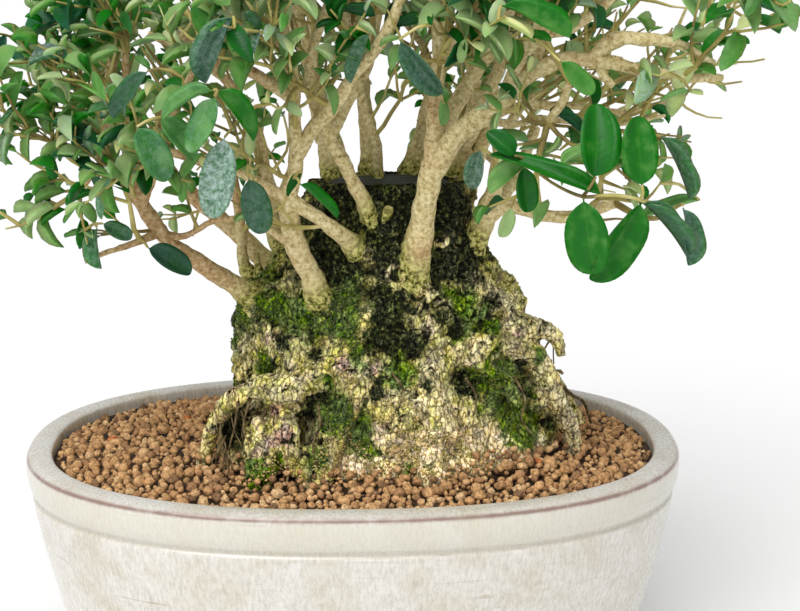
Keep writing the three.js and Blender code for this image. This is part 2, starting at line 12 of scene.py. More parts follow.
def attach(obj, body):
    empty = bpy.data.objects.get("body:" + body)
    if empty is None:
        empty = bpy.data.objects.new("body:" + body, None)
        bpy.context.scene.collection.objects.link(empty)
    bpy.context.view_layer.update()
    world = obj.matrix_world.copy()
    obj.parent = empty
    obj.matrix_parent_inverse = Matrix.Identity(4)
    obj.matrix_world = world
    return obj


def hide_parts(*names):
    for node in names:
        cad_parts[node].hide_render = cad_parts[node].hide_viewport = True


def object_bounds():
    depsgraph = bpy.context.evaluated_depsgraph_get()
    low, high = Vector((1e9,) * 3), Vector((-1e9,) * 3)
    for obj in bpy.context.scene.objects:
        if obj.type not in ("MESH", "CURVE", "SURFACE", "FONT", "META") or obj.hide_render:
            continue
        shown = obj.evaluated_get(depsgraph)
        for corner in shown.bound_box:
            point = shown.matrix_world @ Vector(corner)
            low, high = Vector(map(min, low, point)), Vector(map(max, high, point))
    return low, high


bl_info = {
    "name": "Olive Bonsai",
    "version": (1, 0, 0),
    "blender": (4, 5, 0),
    "location": "3D View > Sidebar > Bonsai",
    "description": "Dresses the frame of an olive bonsai with bark, moss, soil, glaze and leaves",
    "category": "Object",
}

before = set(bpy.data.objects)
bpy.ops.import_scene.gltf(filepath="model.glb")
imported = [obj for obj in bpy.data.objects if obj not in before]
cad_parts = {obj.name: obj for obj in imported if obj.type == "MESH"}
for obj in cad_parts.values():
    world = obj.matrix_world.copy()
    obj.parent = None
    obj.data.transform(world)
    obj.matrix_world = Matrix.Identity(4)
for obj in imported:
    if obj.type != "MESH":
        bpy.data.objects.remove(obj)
CAD_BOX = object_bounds()

MM = 0.001
UP = Vector((0, 0, 1))
FULL_TURN = 2 * math.pi

# Noise vectors start from the clock unless they are given a seed.
NOISE_SEED = 3
noise.seed_set(NOISE_SEED)

# ---------------------------------------------------------------- pot, in millimetres

POT_HALF_LENGTH = 185
POT_HALF_WIDTH = 137
POT_OVAL_POWER = 2.3
POT_CORE_RADIUS = 100
POT_SEGMENTS = 176
FOOT_HEIGHT = 10
SIDE_NOTCH = 70
LONG_NOTCH = 110
DRAIN_HOLE_RADIUS = 14
DRAIN_HOLE_X = 62
THROWING_FOOT = 24
THROWING_TOP = 96                 # the finger lines of the throwing end under the groove
GROOVE_HEIGHT = 102.6
EDGE_HEIGHT = 122.4               # where the glaze runs thin on the rim

# Section of the pot: (distance from the middle along the long axis, height).
POT_SECTION = [
    (146.2, 1.2), (149, 10), (159, 16), (166, 28), (171, 46), (174.5, 60), (178, 74), (181, 88),
    (182.6, 97), (183, 100.6), (182.2, 102), (181.9, 103), (182.4, 104.1), (183.6, 105.6),
    (184.9, 109), (185.6, 113), (185.9, 118), (185.7, 121.4), (185, 123), (183.6, 124.1),
    (181.4, 124.7), (178, 125), (174.6, 124.9), (172.6, 124.5), (171.6, 123.7), (171.2, 122.2),
    (171, 118), (170, 108), (167, 84), (160, 50), (150, 27), (135, 20),
]
POT_UNDERSIDE = [(0, FOOT_HEIGHT), (132, FOOT_HEIGHT), (134, 1.2), (135, 0), (145, 0)]

# ---------------------------------------------------------------- soil

SOIL_HALF_LENGTH = 170.4
SOIL_HALF_WIDTH = 122.4
SOIL_SHARES = [0, 0.58, 0.75, 0.88, 1]         # from the middle of the pot to its wall
SOIL_HEIGHTS = [123.5, 123.5, 122, 119.5, 118]
SOIL_LINE = 121                   # no moss or crumb sits on the stump below it
UNDER_SIZES = (0.8, 0.9, 1.0)
GRANULE_SIZES = (0.6, 0.75, 0.9, 1.05, 1.2, 1.3, 1.45, 1.6)
CLAY_TINTS = [
    (0.0, "#80644a"), (0.2, "#bd9066"), (0.45, "#dbaa76"), (0.7, "#e8b882"), (0.93, "#f3cb98"),
    (1.0, "#dc8550"),
]
CRUMB_TINTS = [(0.0, "#a39a48"), (0.3, "#cbbf6e"), (0.6, "#e6c890"), (1.0, "#fbe2bb")]
CRUMB_COUNT = 1500

# Where crumbs of clay cling to the foot of the stump: centre, reach.
CRUMBY = [
    ((-5, -76, 135), 14), ((24, -72, 160), 9), ((37, -80, 122), 24), ((64, -72, 126), 18),
    ((-42, -80, 124), 14), ((-5, -64, 176), 7),
]

# ---------------------------------------------------------------- wood

TRUNK_FOOT = 100                  # the skin ends under the soil
TRUNK_TOP = 272

# Outline of the stump at each height: height, left, right, front, back.
STUMP_OUTLINE = np.array([
    (100, -74, 110, -78, 70),
    (122, -62, 106, -72, 62),
    (136, -50, 102, -67, 58),
    (150, -52, 104, -64, 55),
    (164, -61, 104, -63, 54),
    (180, -63, 100, -61, 54),
    (196, -62, 94, -57, 52),
    (210, -55, 86, -53, 49),
    (222, -45, 81, -49, 46),
    (236, -33, 73, -46, 43),
    (252, -27, 67, -42, 40),
    (272, -23, 64, -37, 36),
])
STUMP_FLUTES = 7
STUMP_FLUTE_DEPTH = 0.055
STUMP_MIDDLE_X = 20
RIDGES = 24
CORK_BLOCKS = 2600

# Burls: centre, radii.
BURLS = [
    ((-46, -4, 207), (17, 27, 15)),
    ((4, -50, 202), (17, 13, 17)),
    ((70, -46, 192), (10, 9, 10)),
    ((79, -8, 205), (16, 24, 16)),
    ((30, -52, 150), (34, 18, 26)),
    ((38, -34, 124), (62, 29, 26)),
    ((102, -18, 138), (14, 14, 24)),
    ((-58, -34, 134), (17, 14, 24)),
]

# Roots that lie bare on the stump and dive into the soil: x, y, z, radius.
ROOTS = [
    [
        (0, -50, 184, 9), (-32, -60, 175, 6), (-56, -57, 169, 5.2), (-71, -50, 157, 4.6),
        (-80, -45, 139, 4.2), (-87, -36, 106, 4),
    ],
    [(-28, -48, 166, 10), (-42, -62, 148, 9), (-50, -72, 128, 8), (-54, -78, 106, 6)],
    [(-10, -52, 160, 11), (-18, -66, 140, 10), (-22, -76, 118, 8), (-24, -82, 102, 6)],
    [(36, -54, 190, 7), (42, -62, 166, 7), (43, -68, 140, 7), (40, -78, 110, 6)],
    [
        (92, -14, 186, 11), (103, -27, 174, 7), (112, -28, 158, 5.6), (120, -25, 138, 5),
        (128, -21, 106, 4.6),
    ],
    [(80, -24, 196, 10), (99, -24, 195, 6.5), (112, -22, 190, 4.4), (117, -22, 178, 2.6)],
    [(100, 6, 172, 8), (116, 12, 152, 5), (128, 16, 132, 4), (138, 18, 106, 3.5)],
    [(-44, 30, 172, 12), (-55, 50, 150, 10), (-64, 66, 128, 8), (-72, 76, 104, 6)],
    [(16, 38, 176, 14), (20, 62, 152, 12), (22, 80, 128, 9), (24, 92, 104, 6)],
    [(66, 34, 176, 13), (88, 52, 152, 11), (104, 66, 128, 8), (114, 74, 104, 6)],
    [(-48, 8, 176, 10), (-58, 20, 156, 9), (-66, 30, 132, 7), (-72, 36, 106, 5)],
]

# Main branches from the stump outwards: x, y, z, radius.
BRANCHES = {
    "left_low": [
        (-42, -10, 206, 6), (-60, -22, 216, 5), (-81, -30, 232, 4.7), (-101, -38, 249, 4.3),
        (-113, -45, 268, 3.8), (-129, -58, 300, 3),
    ],
    "left_upright": [
        (-16, -40, 208, 7), (-22, -48, 226, 6), (-29, -54, 246, 5.6), (-35, -60, 272, 4.8),
        (-30, -66, 298, 3.8), (-31, -80, 350, 2.8),
    ],
    "left_inner": [
        (8, -34, 236, 5), (-1, -45, 246, 4.3), (-14, -56, 260, 4), (-34, -62, 276, 3.8),
    ],
    "front_slim": [
        (14, -30, 246, 4.6), (10, -40, 262, 4.2), (3, -46, 277, 4), (-13, -54, 307, 3.6),
        (-24, -64, 336, 2.8),
    ],
    "front_main": [
        (31, -38, 214, 9), (33, -47, 234, 7.3), (36, -56, 258, 6.8), (41, -66, 290, 6),
        (42, -66, 306, 4.6),
    ],
    "front_fork_up": [(41, -66, 290, 5), (42, -62, 318, 4.4), (44, -56, 338, 3.9), (46, -48, 372, 3)],
    "front_fork_right": [
        (40, -64, 286, 6), (54, -75, 310, 5.6), (68, -84, 324, 5), (86, -94, 340, 4.4),
        (108, -102, 352, 3.8), (134, -106, 350, 3.2),
    ],
    "right_low": [
        (58, -10, 222, 7), (65, -19, 236, 5.6), (71, -25, 256, 5), (77, -31, 278, 4.4),
        (80, -36, 304, 3.6),
    ],
    "right_reach": [
        (70, -25, 254, 4.4), (84, -30, 265, 3.8), (99, -36, 261, 3.5), (116, -42, 260, 3.2),
        (140, -52, 270, 2.8),
    ],
    "right_back": [(54, 4, 244, 5.6), (61, 10, 258, 4.8), (68, 15, 276, 4.3), (84, 24, 312, 3.4)],
    "left_thin": [(-50, 14, 208, 4), (-62, 20, 222, 2.8), (-63, 23, 240, 2.6), (-68, 32, 272, 2.3)],
    "left_back": [(-34, 14, 222, 5.6), (-43, 20, 238, 4.8), (-47, 28, 258, 4.3), (-56, 44, 302, 3.4)],
    "top_left": [(-8, 18, 256, 6), (-13, 24, 282, 5), (-18, 30, 312, 4.2), (-26, 38, 352, 3.2)],
    "top_middle": [(10, 24, 258, 5.6), (10, 30, 288, 4.8), (6, 38, 326, 3.9), (0, 44, 366, 3)],
    "top_right": [(30, 24, 256, 5.8), (38, 32, 286, 5), (48, 40, 322, 4), (56, 46, 364, 3)],
    "top_far_right": [(48, 18, 252, 5), (64, 28, 284, 4.2), (84, 38, 314, 3.6), (110, 48, 340, 2.8)],
    "back_low_left": [
        (-20, 18, 200, 7), (-50, 36, 222, 6), (-70, 48, 238, 5), (-92, 60, 254, 4.2),
        (-116, 70, 280, 3.2),
    ],
    "back_low": [(8, 36, 218, 6.5), (4, 62, 240, 5.2), (-4, 92, 262, 4.2), (-12, 116, 292, 3.2)],
    "back_low_right": [
        (56, 32, 216, 6.5), (78, 58, 238, 5.2), (98, 82, 260, 4.2), (112, 98, 290, 3.2),
    ],
}
STUBS = [
    [(16, -34, 252, 3.4), (18, -44, 262, 3), (19, -47, 267, 2.4)],
    [(-50, 4, 214, 3), (-54, 6, 225, 2), (-55, 6, 232, 1.6)],
    [(-29, -54, 246, 2.6), (-46, -50, 257, 1.8), (-62, -42, 264, 1.5)],
]

# Fine roots that hang in the hollow under the arching left root, and from the broken right one.
ROOTLETS = [
    [(-62, -60, 168, 1), (-64, -62, 152, 0.6), (-68, -63, 138, 0.5), (-66, -64, 122, 0.4)],
    [(-56, -58, 166, 0.8), (-60, -60, 150, 0.6), (-57, -64, 136, 0.5), (-61, -66, 121, 0.3)],
    [(-70, -50, 158, 0.7), (-73, -52, 146, 0.5), (-70, -54, 134, 0.4), (-75, -56, 121, 0.3)],
    [(-48, -62, 160, 1), (-52, -66, 147, 0.7), (-48, -68, 134, 0.6), (-52, -70, 121, 0.5)],
    [(-76, -48, 150, 0.5), (-72, -52, 138, 0.4), (-78, -54, 128, 0.4), (-74, -56, 120, 0.3)],
    [(-36, -66, 150, 1.1), (-39, -72, 138, 0.8), (-36, -76, 128, 0.7), (-38, -78, 120, 0.5)],
    [(-58, -62, 138, 0.6), (-66, -62, 134, 0.4), (-72, -60, 126, 0.3)],
    [(110, -22, 188, 0.7), (107, -23, 180, 0.4), (109, -23, 172, 0.4), (106, -24, 164, 0.3)],
    [(112, -22, 187, 0.6), (112, -22, 178, 0.4), (112, -21, 170, 0.5), (111, -20, 164, 1.3)],
    [
        (104, -26, 172, 1.6), (112, -18, 165, 1.4), (121, -6, 154, 1.1), (136, 20, 136, 0.9),
        (142, 30, 120, 0.8),
    ],
    [(112, -20, 166, 1.4), (116, -18, 167, 1.2), (118, -18, 166, 1)],
    [(20, -62, 180, 0.8), (26, -68, 170, 0.6), (24, -72, 160, 0.5), (29, -72, 150, 0.4)],
    [(-20, -66, 164, 0.9), (-18, -72, 154, 0.7), (-23, -76, 144, 0.5), (-20, -78, 132, 0.4)],
    [(60, -60, 176, 0.8), (66, -62, 166, 0.5), (64, -64, 156, 0.4)],
    [(88, -44, 172, 0.8), (94, -46, 160, 0.6), (92, -48, 150, 0.5), (98, -50, 140, 0.4)],
]

# Finger-thick bare roots that stand out on the front: x, y, z, radius.
FINGER_ROOTS = [
    [(38, -52, 190, 4), (42, -62, 178, 5), (45, -66, 167, 4.8), (49, -69, 157, 4), (54, -68, 146, 2)],
    [(43, -60, 174, 4), (37, -67, 166, 3.4), (31, -70, 158, 2.2)],
    [(-52, -54, 172, 5), (-40, -64, 168, 5), (-26, -68, 172, 4.4), (-12, -66, 177, 4)],
    [(-36, -62, 158, 5), (-36, -70, 148, 5.4), (-35, -72, 138, 4.8), (-34, -70, 126, 3)],
    [(-50, -58, 154, 5), (-55, -64, 144, 4.6), (-56, -66, 134, 4), (-56, -64, 118, 3.4)],
    [(8, -58, 178, 4), (2, -64, 166, 4), (-6, -68, 152, 3.6), (-10, -70, 138, 3)],
    [(84, -40, 190, 5), (94, -36, 184, 5), (100, -30, 176, 5)],
    [(60, -54, 188, 5), (72, -50, 178, 5), (84, -46, 166, 4), (92, -44, 152, 3)],
]

# Hollows of the stump: centre, radius, depth.
HOLLOWS = [
    ((-64, -54, 150), 9, 6),
    ((-66, -50, 134), 9, 5),
    ((-46, -60, 150), 6, 8),
    ((-24, -64, 148), 7, 7),
    ((-10, -60, 158), 6, 6),
    ((14, -58, 190), 7, 6),
    ((4, -56, 208), 5, 4),
    ((24, -56, 172), 6, 5),
    ((62, -56, 172), 9, 7),
    ((94, -34, 158), 7, 7),
    ((106, -30, 140), 7, 7),
    ((54, -44, 246), 7, 4),
    ((-22, -48, 228), 8, 5),
    ((-14, -66, 166), 6, 5),
    ((-4, -54, 190), 6, 4),
]

# Healed pruning scars, each a ring round a pit: centre, radius of the ring, how open the pit is.
SCARS = [((23, -52, 231), 5, 1), ((48, -45, 248), 4.4, 1), ((69, -54, 193), 4, 0.1)]

# Where moss grows thick, where old wood stays pale, where it is pink, and where it is dark:
# x, y, z, reach.
MOSSY = [
    (-3, -54, 219, 6), (-29, -47, 209, 7), (-18, -51, 208, 5), (-6, -64, 202, 5), (-47, -32, 173, 5),
    (-10, -64, 158, 7), (-1, -64, 148, 5), (25, -62, 180, 5), (82, -51, 170, 9), (89, -36, 148, 8),
    (66, -54, 179, 5), (103, -32, 182, 4), (72, -49, 204, 6), (-46, -33, 211, 5), (5, -64, 137, 4),
    (29, -69, 124, 4), (-42, -75, 128, 7), (-53, -80, 127, 4), (-22, -78, 135, 4), (-12, -71, 177, 4),
    (2, -60, 188, 4), (61, -40, 214, 4), (96, -37, 134, 5), (18, 56, 180, 36), (-60, 44, 170, 24),
    (96, 30, 170, 22), (-58, -4, 206, 10),
]
PALE = [
    (67, -37, 224, 6), (83, -28, 216, 5), (2, -62, 213, 4), (5, -63, 201, 5), (13, -51, 224, 4),
    (86, -33, 205, 4), (69, -54, 193, 4), (118, -33, 141, 6), (124, -36, 128, 6), (-63, -20, 181, 5),
    (-62, -20, 170, 4), (40, -69, 173, 5), (49, -54, 183, 4), (105, -28, 195, 4), (-39, -42, 203, 4),
    (36, -47, 233, 7), (46, -71, 165, 4), (-57, -25, 202, 4), (113, -31, 167, 4), (120, -29, 137, 5),
    (110, -33, 156, 4), (-49, -66, 173, 7), (-28, -68, 176, 5), (-72, -51, 149, 5), (63, -58, 184, 4),
    (-53, -69, 147, 4), (9, -60, 213, 4), (40, -48, 225, 6), (60, 46, 200, 10), (-30, 50, 200, 10),
    (70, 40, 150, 12), (-64, 20, 186, 8),
]
PINK = [
    (-25, -51, 187, 4), (-6, -61, 184, 5), (12, -59, 182, 5), (-43, -63, 160, 6), (-35, -74, 151, 4),
    (55, -50, 176, 4), (68, -48, 168, 4), (-47, -37, 192, 4), (91, -32, 194, 4), (16, -68, 150, 4),
    (79, -52, 174, 4), (20, 58, 150, 8), (-51, -75, 140, 7), (-42, -76, 146, 5),
]
DARK = [
    (22, -54, 215, 9), (17, -59, 204, 7), (25, -62, 192, 5), (-14, -41, 232, 7), (-38, -50, 193, 4),
    (36, -60, 194, 4), (42, -68, 178, 4), (-16, -59, 166, 5), (-26, -56, 155, 5), (-68, -42, 141, 8),
    (113, -26, 139, 5), (100, -31, 165, 4), (50, -38, 236, 7), (61, -44, 206, 5), (-57, -25, 214, 4),
    (-20, -54, 189, 4), (13, -61, 174, 4), (81, -41, 179, 4), (5, -67, 168, 4), (47, -48, 207, 4),
    (93, -37, 178, 4), (-23, -62, 143, 4), (-80, -58, 150, 4), (-62, -66, 158, 4), (-90, -60, 138, 4),
    (-2, -44, 232, 4), (74, -36, 211, 4), (-43, -18, 223, 4), (12, -58, 196, 4), (57, -47, 195, 4),
    (22, 40, 240, 36), (2, -42, 258, 20), (56, -36, 258, 18), (30, 50, 206, 12), (-44, 36, 196, 10),
]

# Section of the dried paste as shares of the saw cut's radii: distance from the middle, height.
PASTE_SECTION = [
    (0, 0.2), (0.9, 0.2), (0.99, 0.6), (1, 1.4), (0.97, 1.9), (0.88, 1.9), (0.6, 1.5), (0, 1.3),
]
PASTE_CENTRE = (20, -3)
PASTE_RADII = (34, 27)

# The mound of crumbs and moss that the foot of the stump stands in: centre, reach.
MOUND = [((30, -70, 128), 30), ((64, -60, 128), 30), ((96, -44, 124), 18), ((0, -70, 126), 14)]

# Slighter branches between the main ones: x, y, z, radius.
SLIGHT_BRANCHES = [
    [
        (-30, -66, 298, 4.2), (-20, -70, 314, 4), (-2, -92, 339, 3.4), (14, -102, 362, 3),
        (30, -110, 396, 2),
    ],
    [
        (-13, -54, 307, 3.8), (-3, -42, 324, 3.8), (8, -32, 343, 3.4), (14, -26, 376, 3),
        (10, -20, 420, 2),
    ],
    [(-18, 30, 292, 3), (-22, 24, 317, 2.6), (-21, 26, 343, 2.4), (-26, 32, 384, 1.6)],
    [(15, 14, 268, 3.6), (13, 14, 292, 3), (7, 18, 315, 2.8), (-3, 26, 367, 2.4), (-8, 30, 410, 1.6)],
    [
        (43, -60, 302, 4.4), (56, -32, 320, 4.2), (65, -20, 333, 4), (82, -26, 364, 3.4),
        (96, -30, 404, 2),
    ],
    [(64, 20, 290, 3.6), (72, 8, 312, 3.6), (83, 0, 342, 3.2), (93, -4, 374, 2.8), (108, -8, 412, 1.8)],
    [(60, 30, 284, 3), (70, 22, 322, 2.8), (70, 24, 339, 2.4), (72, 26, 390, 1.6)],
    [
        (60, -78, 318, 2.6), (83, -60, 314, 2), (100, -50, 315, 1.8), (138, -40, 310, 1.5),
        (168, -38, 315, 1),
    ],
    [
        (80, -34, 300, 2.4), (92, -24, 318, 2), (123, -28, 319, 1.7), (145, -30, 316, 1.5),
        (172, -30, 322, 1),
    ],
    [
        (112, -103, 352, 3.6), (126, -106, 351, 3.4), (143, -106, 347, 3), (160, -104, 344, 2.6),
        (186, -98, 342, 1.8),
    ],
    [
        (118, -104, 352, 3), (128, -111, 362, 3.8), (141, -114, 364, 3.4), (157, -112, 361, 2.6),
        (180, -106, 350, 1.8),
    ],
    [(124, -104, 352, 3), (125, -104, 345, 2.4), (130, -104, 339, 1.6)],
    [
        (76, -88, 332, 3.6), (90, -104, 362, 3.4), (102, -112, 368, 4), (116, -118, 375, 3),
        (134, -122, 392, 2),
    ],
    [(-104, -36, 252, 2.4), (-92, -42, 252, 1.8), (-74, -54, 262, 1.5), (-58, -60, 266, 1.1)],
    [(-105, -38, 253, 2.6), (-113, -50, 251, 2), (-125, -56, 247, 1.6), (-142, -62, 242, 1.1)],
    [(-32, -76, 330, 3.2), (-50, -84, 344, 3), (-72, -100, 352, 2.4), (-100, -112, 366, 1.6)],
    [(-113, -44, 270, 3), (-100, -70, 300, 2.6), (-88, -110, 330, 2), (-76, -140, 352, 1.4)],
]

# ---------------------------------------------------------------- moss pads and crown

# Pads of moss, each in the place of its node: centre, radii.
MOSS_PADS = {
    "moss_left_shoulder": ((-52, -20, 196), (30, 34, 22)),
    "moss_front": ((-8, -66, 212), (26, 24, 24)),
    "moss_foot": ((6, -72, 146), (30, 22, 20)),
    "moss_right": ((76, -48, 158), (28, 30, 26)),
    "moss_back": ((20, 58, 176), (44, 26, 34)),
}

PAD_TUFTS = 1150

CROWN_CENTRE = Vector((-5, -14, 262))
CROWN_REACH = Vector((148, 126, 192))
CROWN_TIPS = 34
CROWN_TOP_UP = 0.97
CROWN_RIM_UP = -0.02
LIMB_STARTS = (0.62, 0.8, 0.97)
LIMB_CROWDING = 30
LIMB_TIP_RADIUS = 1.9
SHOOT_LENGTH = 56
GOLDEN_ANGLE = math.pi * (3 - math.sqrt(5))
CROWN_MARGIN = 4                  # how far a twig or leaf may pass the frame's box
CROWN_FLOOR = 205
CROWN_FRONT = -108                # before it the crown is a full curtain of leaves
LEAF_SHAPES = (                   # fold, droop, twist
    (0.5, 0.1, 0), (0.9, 0.22, 0.25), (0.3, -0.05, -0.2), (0.7, 0.38, 0.15), (0.45, 0.16, -0.35),
)

# Where the branches show between few leaves: from x, to x, up to y, up to z, chance of a leaf.
BARE_PLACES = [
    (-48, 92, 10, 322, 0.08), (92, math.inf, math.inf, 350, 0.2), (50, math.inf, 0, 400, 0.14),
]

# Leaves that hang free in front of the crown: foot, tip, width over length, facing, tint, film.
FRONT_LEAVES = [
    ((113, -165, 302), (117, -165, 336), 0.56, (0.2, -1, 0.1), 0.3, 0),
    ((136, -165, 298), (133, -165, 331), 0.52, (-0.15, -1, 0.1), 0.35, 0),
    ((118, -164, 294), (66, -160, 316), 0.23, (0.1, -0.9, 0.5), 0.33, 0),
    ((76, -157, 312), (65, -159, 324), 0.6, (0.3, -1, 0.3), 0.2, 0),
    ((108, -168, 293), (113, -169, 256), 0.55, (-0.3, -1, 0.2), 0.34, 0),
    ((137, -160, 290), (115, -163, 251), 0.44, (0.5, -1, 0.1), 0.34, 0),
    ((81, -150, 306), (84, -150, 283), 0.46, (0.1, -1, 0.2), 0.26, 0),
    ((84, -152, 308), (62, -150, 297), 0.42, (-0.3, -0.8, 0.7), 0.5, 0),
    ((99, -150, 306), (113, -150, 318), 0.42, (-0.2, -0.6, 0.9), 0.5, 0),
    ((137, -160, 290), (166, -156, 266), 0.16, (0.5, -0.7, 0.7), 0.1, 0.2),
    ((158, -154, 286), (166, -155, 258), 0.32, (0.8, -0.7, 0.3), 0.1, 0.3),
    ((152, -120, 316), (173, -120, 286), 0.16, (0.6, -0.8, 0.5), 0.15, 0.3),
    ((81, -90, 275), (76, -90, 259), 0.46, (0.2, -1, 0.1), 0.75, 0),
    ((65, -90, 305), (59, -90, 284), 0.44, (-0.3, -1, 0.2), 0.15, 0.6),
    ((-61, -160, 322), (-68, -162, 284), 0.42, (0.1, -1, 0.2), 0.2, 1),
    ((-52, -120, 296), (-46, -120, 268), 0.5, (0.2, -1, 0.1), 0.1, 0.25),
    ((-27, -120, 293), (-7, -120, 277), 0.3, (0.3, -0.4, 0.9), 0.3, 0),
    ((-26, -112, 297), (-34, -114, 286), 0.5, (-0.4, -0.8, 0.6), 0.15, 0),
    ((-92, -150, 330), (-75, -152, 311), 0.5, (0.2, -0.9, 0.5), 0.42, 0.15),
    ((-102, -160, 327), (-87, -162, 302), 0.5, (0.1, -1, 0.3), 0.36, 0.3),
    ((-65, -160, 341), (-77, -162, 315), 0.46, (-0.2, -1, 0.3), 0.4, 0.25),
    ((-64, -160, 344), (-43, -160, 324), 0.44, (0.3, -0.8, 0.6), 0.34, 0),
    ((-66, -160, 344), (-92, -162, 338), 0.28, (0, -0.5, 1), 0.43, 0.2),
    ((-56, -155, 378), (-74, -155, 348), 0.34, (-0.4, -0.9, 0.4), 0.06, 0.4),
    ((-98, -140, 351), (-117, -140, 329), 0.36, (-0.4, -0.9, 0.5), 0.1, 0.2),
    ((-109, -60, 249), (-86, -62, 236), 0.5, (0.1, -0.8, 0.7), 0.05, 0.1),
    ((-131, -70, 264), (-116, -72, 256), 0.5, (0.1, -0.8, 0.7), 0.15, 0.2),
    ((-134, -70, 262), (-136, -72, 240), 0.32, (-0.7, -0.7, 0.2), 0.2, 0.4),
    ((-121, -110, 298), (-128, -112, 274), 0.36, (-0.3, -1, 0.3), 0.3, 0.5),
    ((22, -135, 365), (41, -135, 336), 0.32, (-0.5, -0.9, 0.4), 0.1, 0.3),
    ((8, -120, 367), (-3, -120, 343), 0.32, (-0.6, -0.8, 0.3), 0.16, 0.4),
    ((-6, -100, 376), (11, -100, 376), 0.36, (0, -0.6, 0.8), 0.1, 0),
    ((20, -100, 381), (17, -100, 366), 0.4, (0.3, -1, 0.2), 0.1, 0.1),
    ((19, -100, 367), (35, -100, 374), 0.3, (0, -0.6, 0.8), 0.1, 0),
    ((109, -60, 300), (88, -62, 303), 0.34, (0, -0.7, 0.8), 0.5, 0.1),
    ((184, -60, 273), (152, -60, 265), 0.24, (0, -0.5, 1), 0.5, 0.1),
    ((98, -150, 356), (113, -150, 340), 0.42, (0.2, -0.9, 0.5), 0.42, 0),
    ((70, -146, 382), (104, -150, 372), 0.26, (0, -0.6, 0.9), 0.36, 0),
    ((164, -130, 339), (149, -130, 336), 0.4, (0, -0.6, 0.9), 0.5, 0.1),
]
FRONT_TWIGS = [
    [
        (140, -52, 270, 2), (150, -84, 268, 1.6), (154, -120, 276, 1.3), (148, -148, 286, 1.1),
        (136, -161, 291, 1), (120, -165, 294, 1), (108, -166, 294, 0.9), (96, -158, 298, 0.8),
        (82, -153, 307, 0.7),
    ],
    [(154, -120, 276, 1.2), (158, -140, 284, 0.9), (158, -153, 287, 0.8)],
    [(108, -166, 294, 0.9), (112, -165, 299, 0.8), (114, -165, 303, 0.7)],
    [(136, -161, 291, 1), (137, -164, 295, 0.8), (136, -165, 299, 0.7)],
]

# ---------------------------------------------------------------- stage, in metres and degrees

FLOOR_REACH = 80
LIGHT_TARGET = Vector((0, 0, 0.22))
WINDOW_PLACE = Vector((-0.35, -0.85, 1.4))
WINDOW_ANGLE = 50
KEY_PLACE = Vector((-0.6, -1, 1.25))
KEY_SIZE = 0.8
CAMERA_PLACE = (-0.0065, -1.0512, 0.4491)
CAMERA_TILT = 76.8
CAMERA_TURN = -1.8
CAMERA_LENS = 85.6                # in millimetres, on a 36 mm sensor
CAMERA_SENSOR = 36


# ---------------------------------------------------------------- colours and nodes

SHARE, UNDER, OVER, MIXED = 0, 6, 7, 2        # sockets of a Mix node that mixes colours
COLOURS = {"data_type": "RGBA"}
SHADES = {"data_type": "RGBA", "blend_type": "MULTIPLY"}


def linear(code):
    """A hex sRGB colour as linear red, green, blue and alpha."""
    shares = [int(code[i:i + 2], 16) / 255 for i in (1, 3, 5)]
    return [s / 12.92 if s <= 0.04045 else ((s + 0.055) / 1.055) ** 2.4 for s in shares] + [1.0]


def per_metre(*sizes):
    """The texture scale, or one for each axis, that gives features of sizes in millimetres."""
    scales = [1 / (size * MM) for size in sizes]
    return scales[0] if len(scales) == 1 else scales


def result(node):
    """The output that carries on what a node makes."""
    if node.bl_idname == "ShaderNodeMix":
        return node.outputs[MIXED]
    return node.outputs.get("Fac", node.outputs[0])


def add(tree, kind, inputs=(), stops=(), **settings):
    """Adds a node. Inputs, listed or named, are values, nodes or sockets. Stops fill a ramp."""
    node = tree.nodes.new("ShaderNode" + kind)
    for name, value in settings.items():
        setattr(node, name, value)
    for name, value in inputs.items() if isinstance(inputs, dict) else enumerate(inputs):
        if isinstance(value, bpy.types.Node):
            value = result(value)
        if isinstance(value, bpy.types.NodeSocket):
            tree.links.new(value, node.inputs[name])
        else:
            node.inputs[name].default_value = value
    if stops:
        elements = node.color_ramp.elements
        while len(elements) < len(stops):
            elements.new(1)
        for element, (place, colour) in zip(elements, stops):
            element.position = place
            element.color = linear(colour)
    return node


def new_finish(name, values):
    """A new material, its node tree and its object coordinates, with values set on its shader."""
    material = bpy.data.materials.new(name)
    material.use_nodes = True
    tree = material.node_tree
    for socket, value in values.items():
        tree.nodes["Principled BSDF"].inputs[socket].default_value = value
    return material, tree, add(tree, "TexCoord").outputs["Object"]


def finished(material, nodes):
    """The material, once nodes reach its shader's inputs of these names."""
    tree = material.node_tree
    for socket, node in nodes.items():
        tree.links.new(result(node), tree.nodes["Principled BSDF"].inputs[socket])
    return material


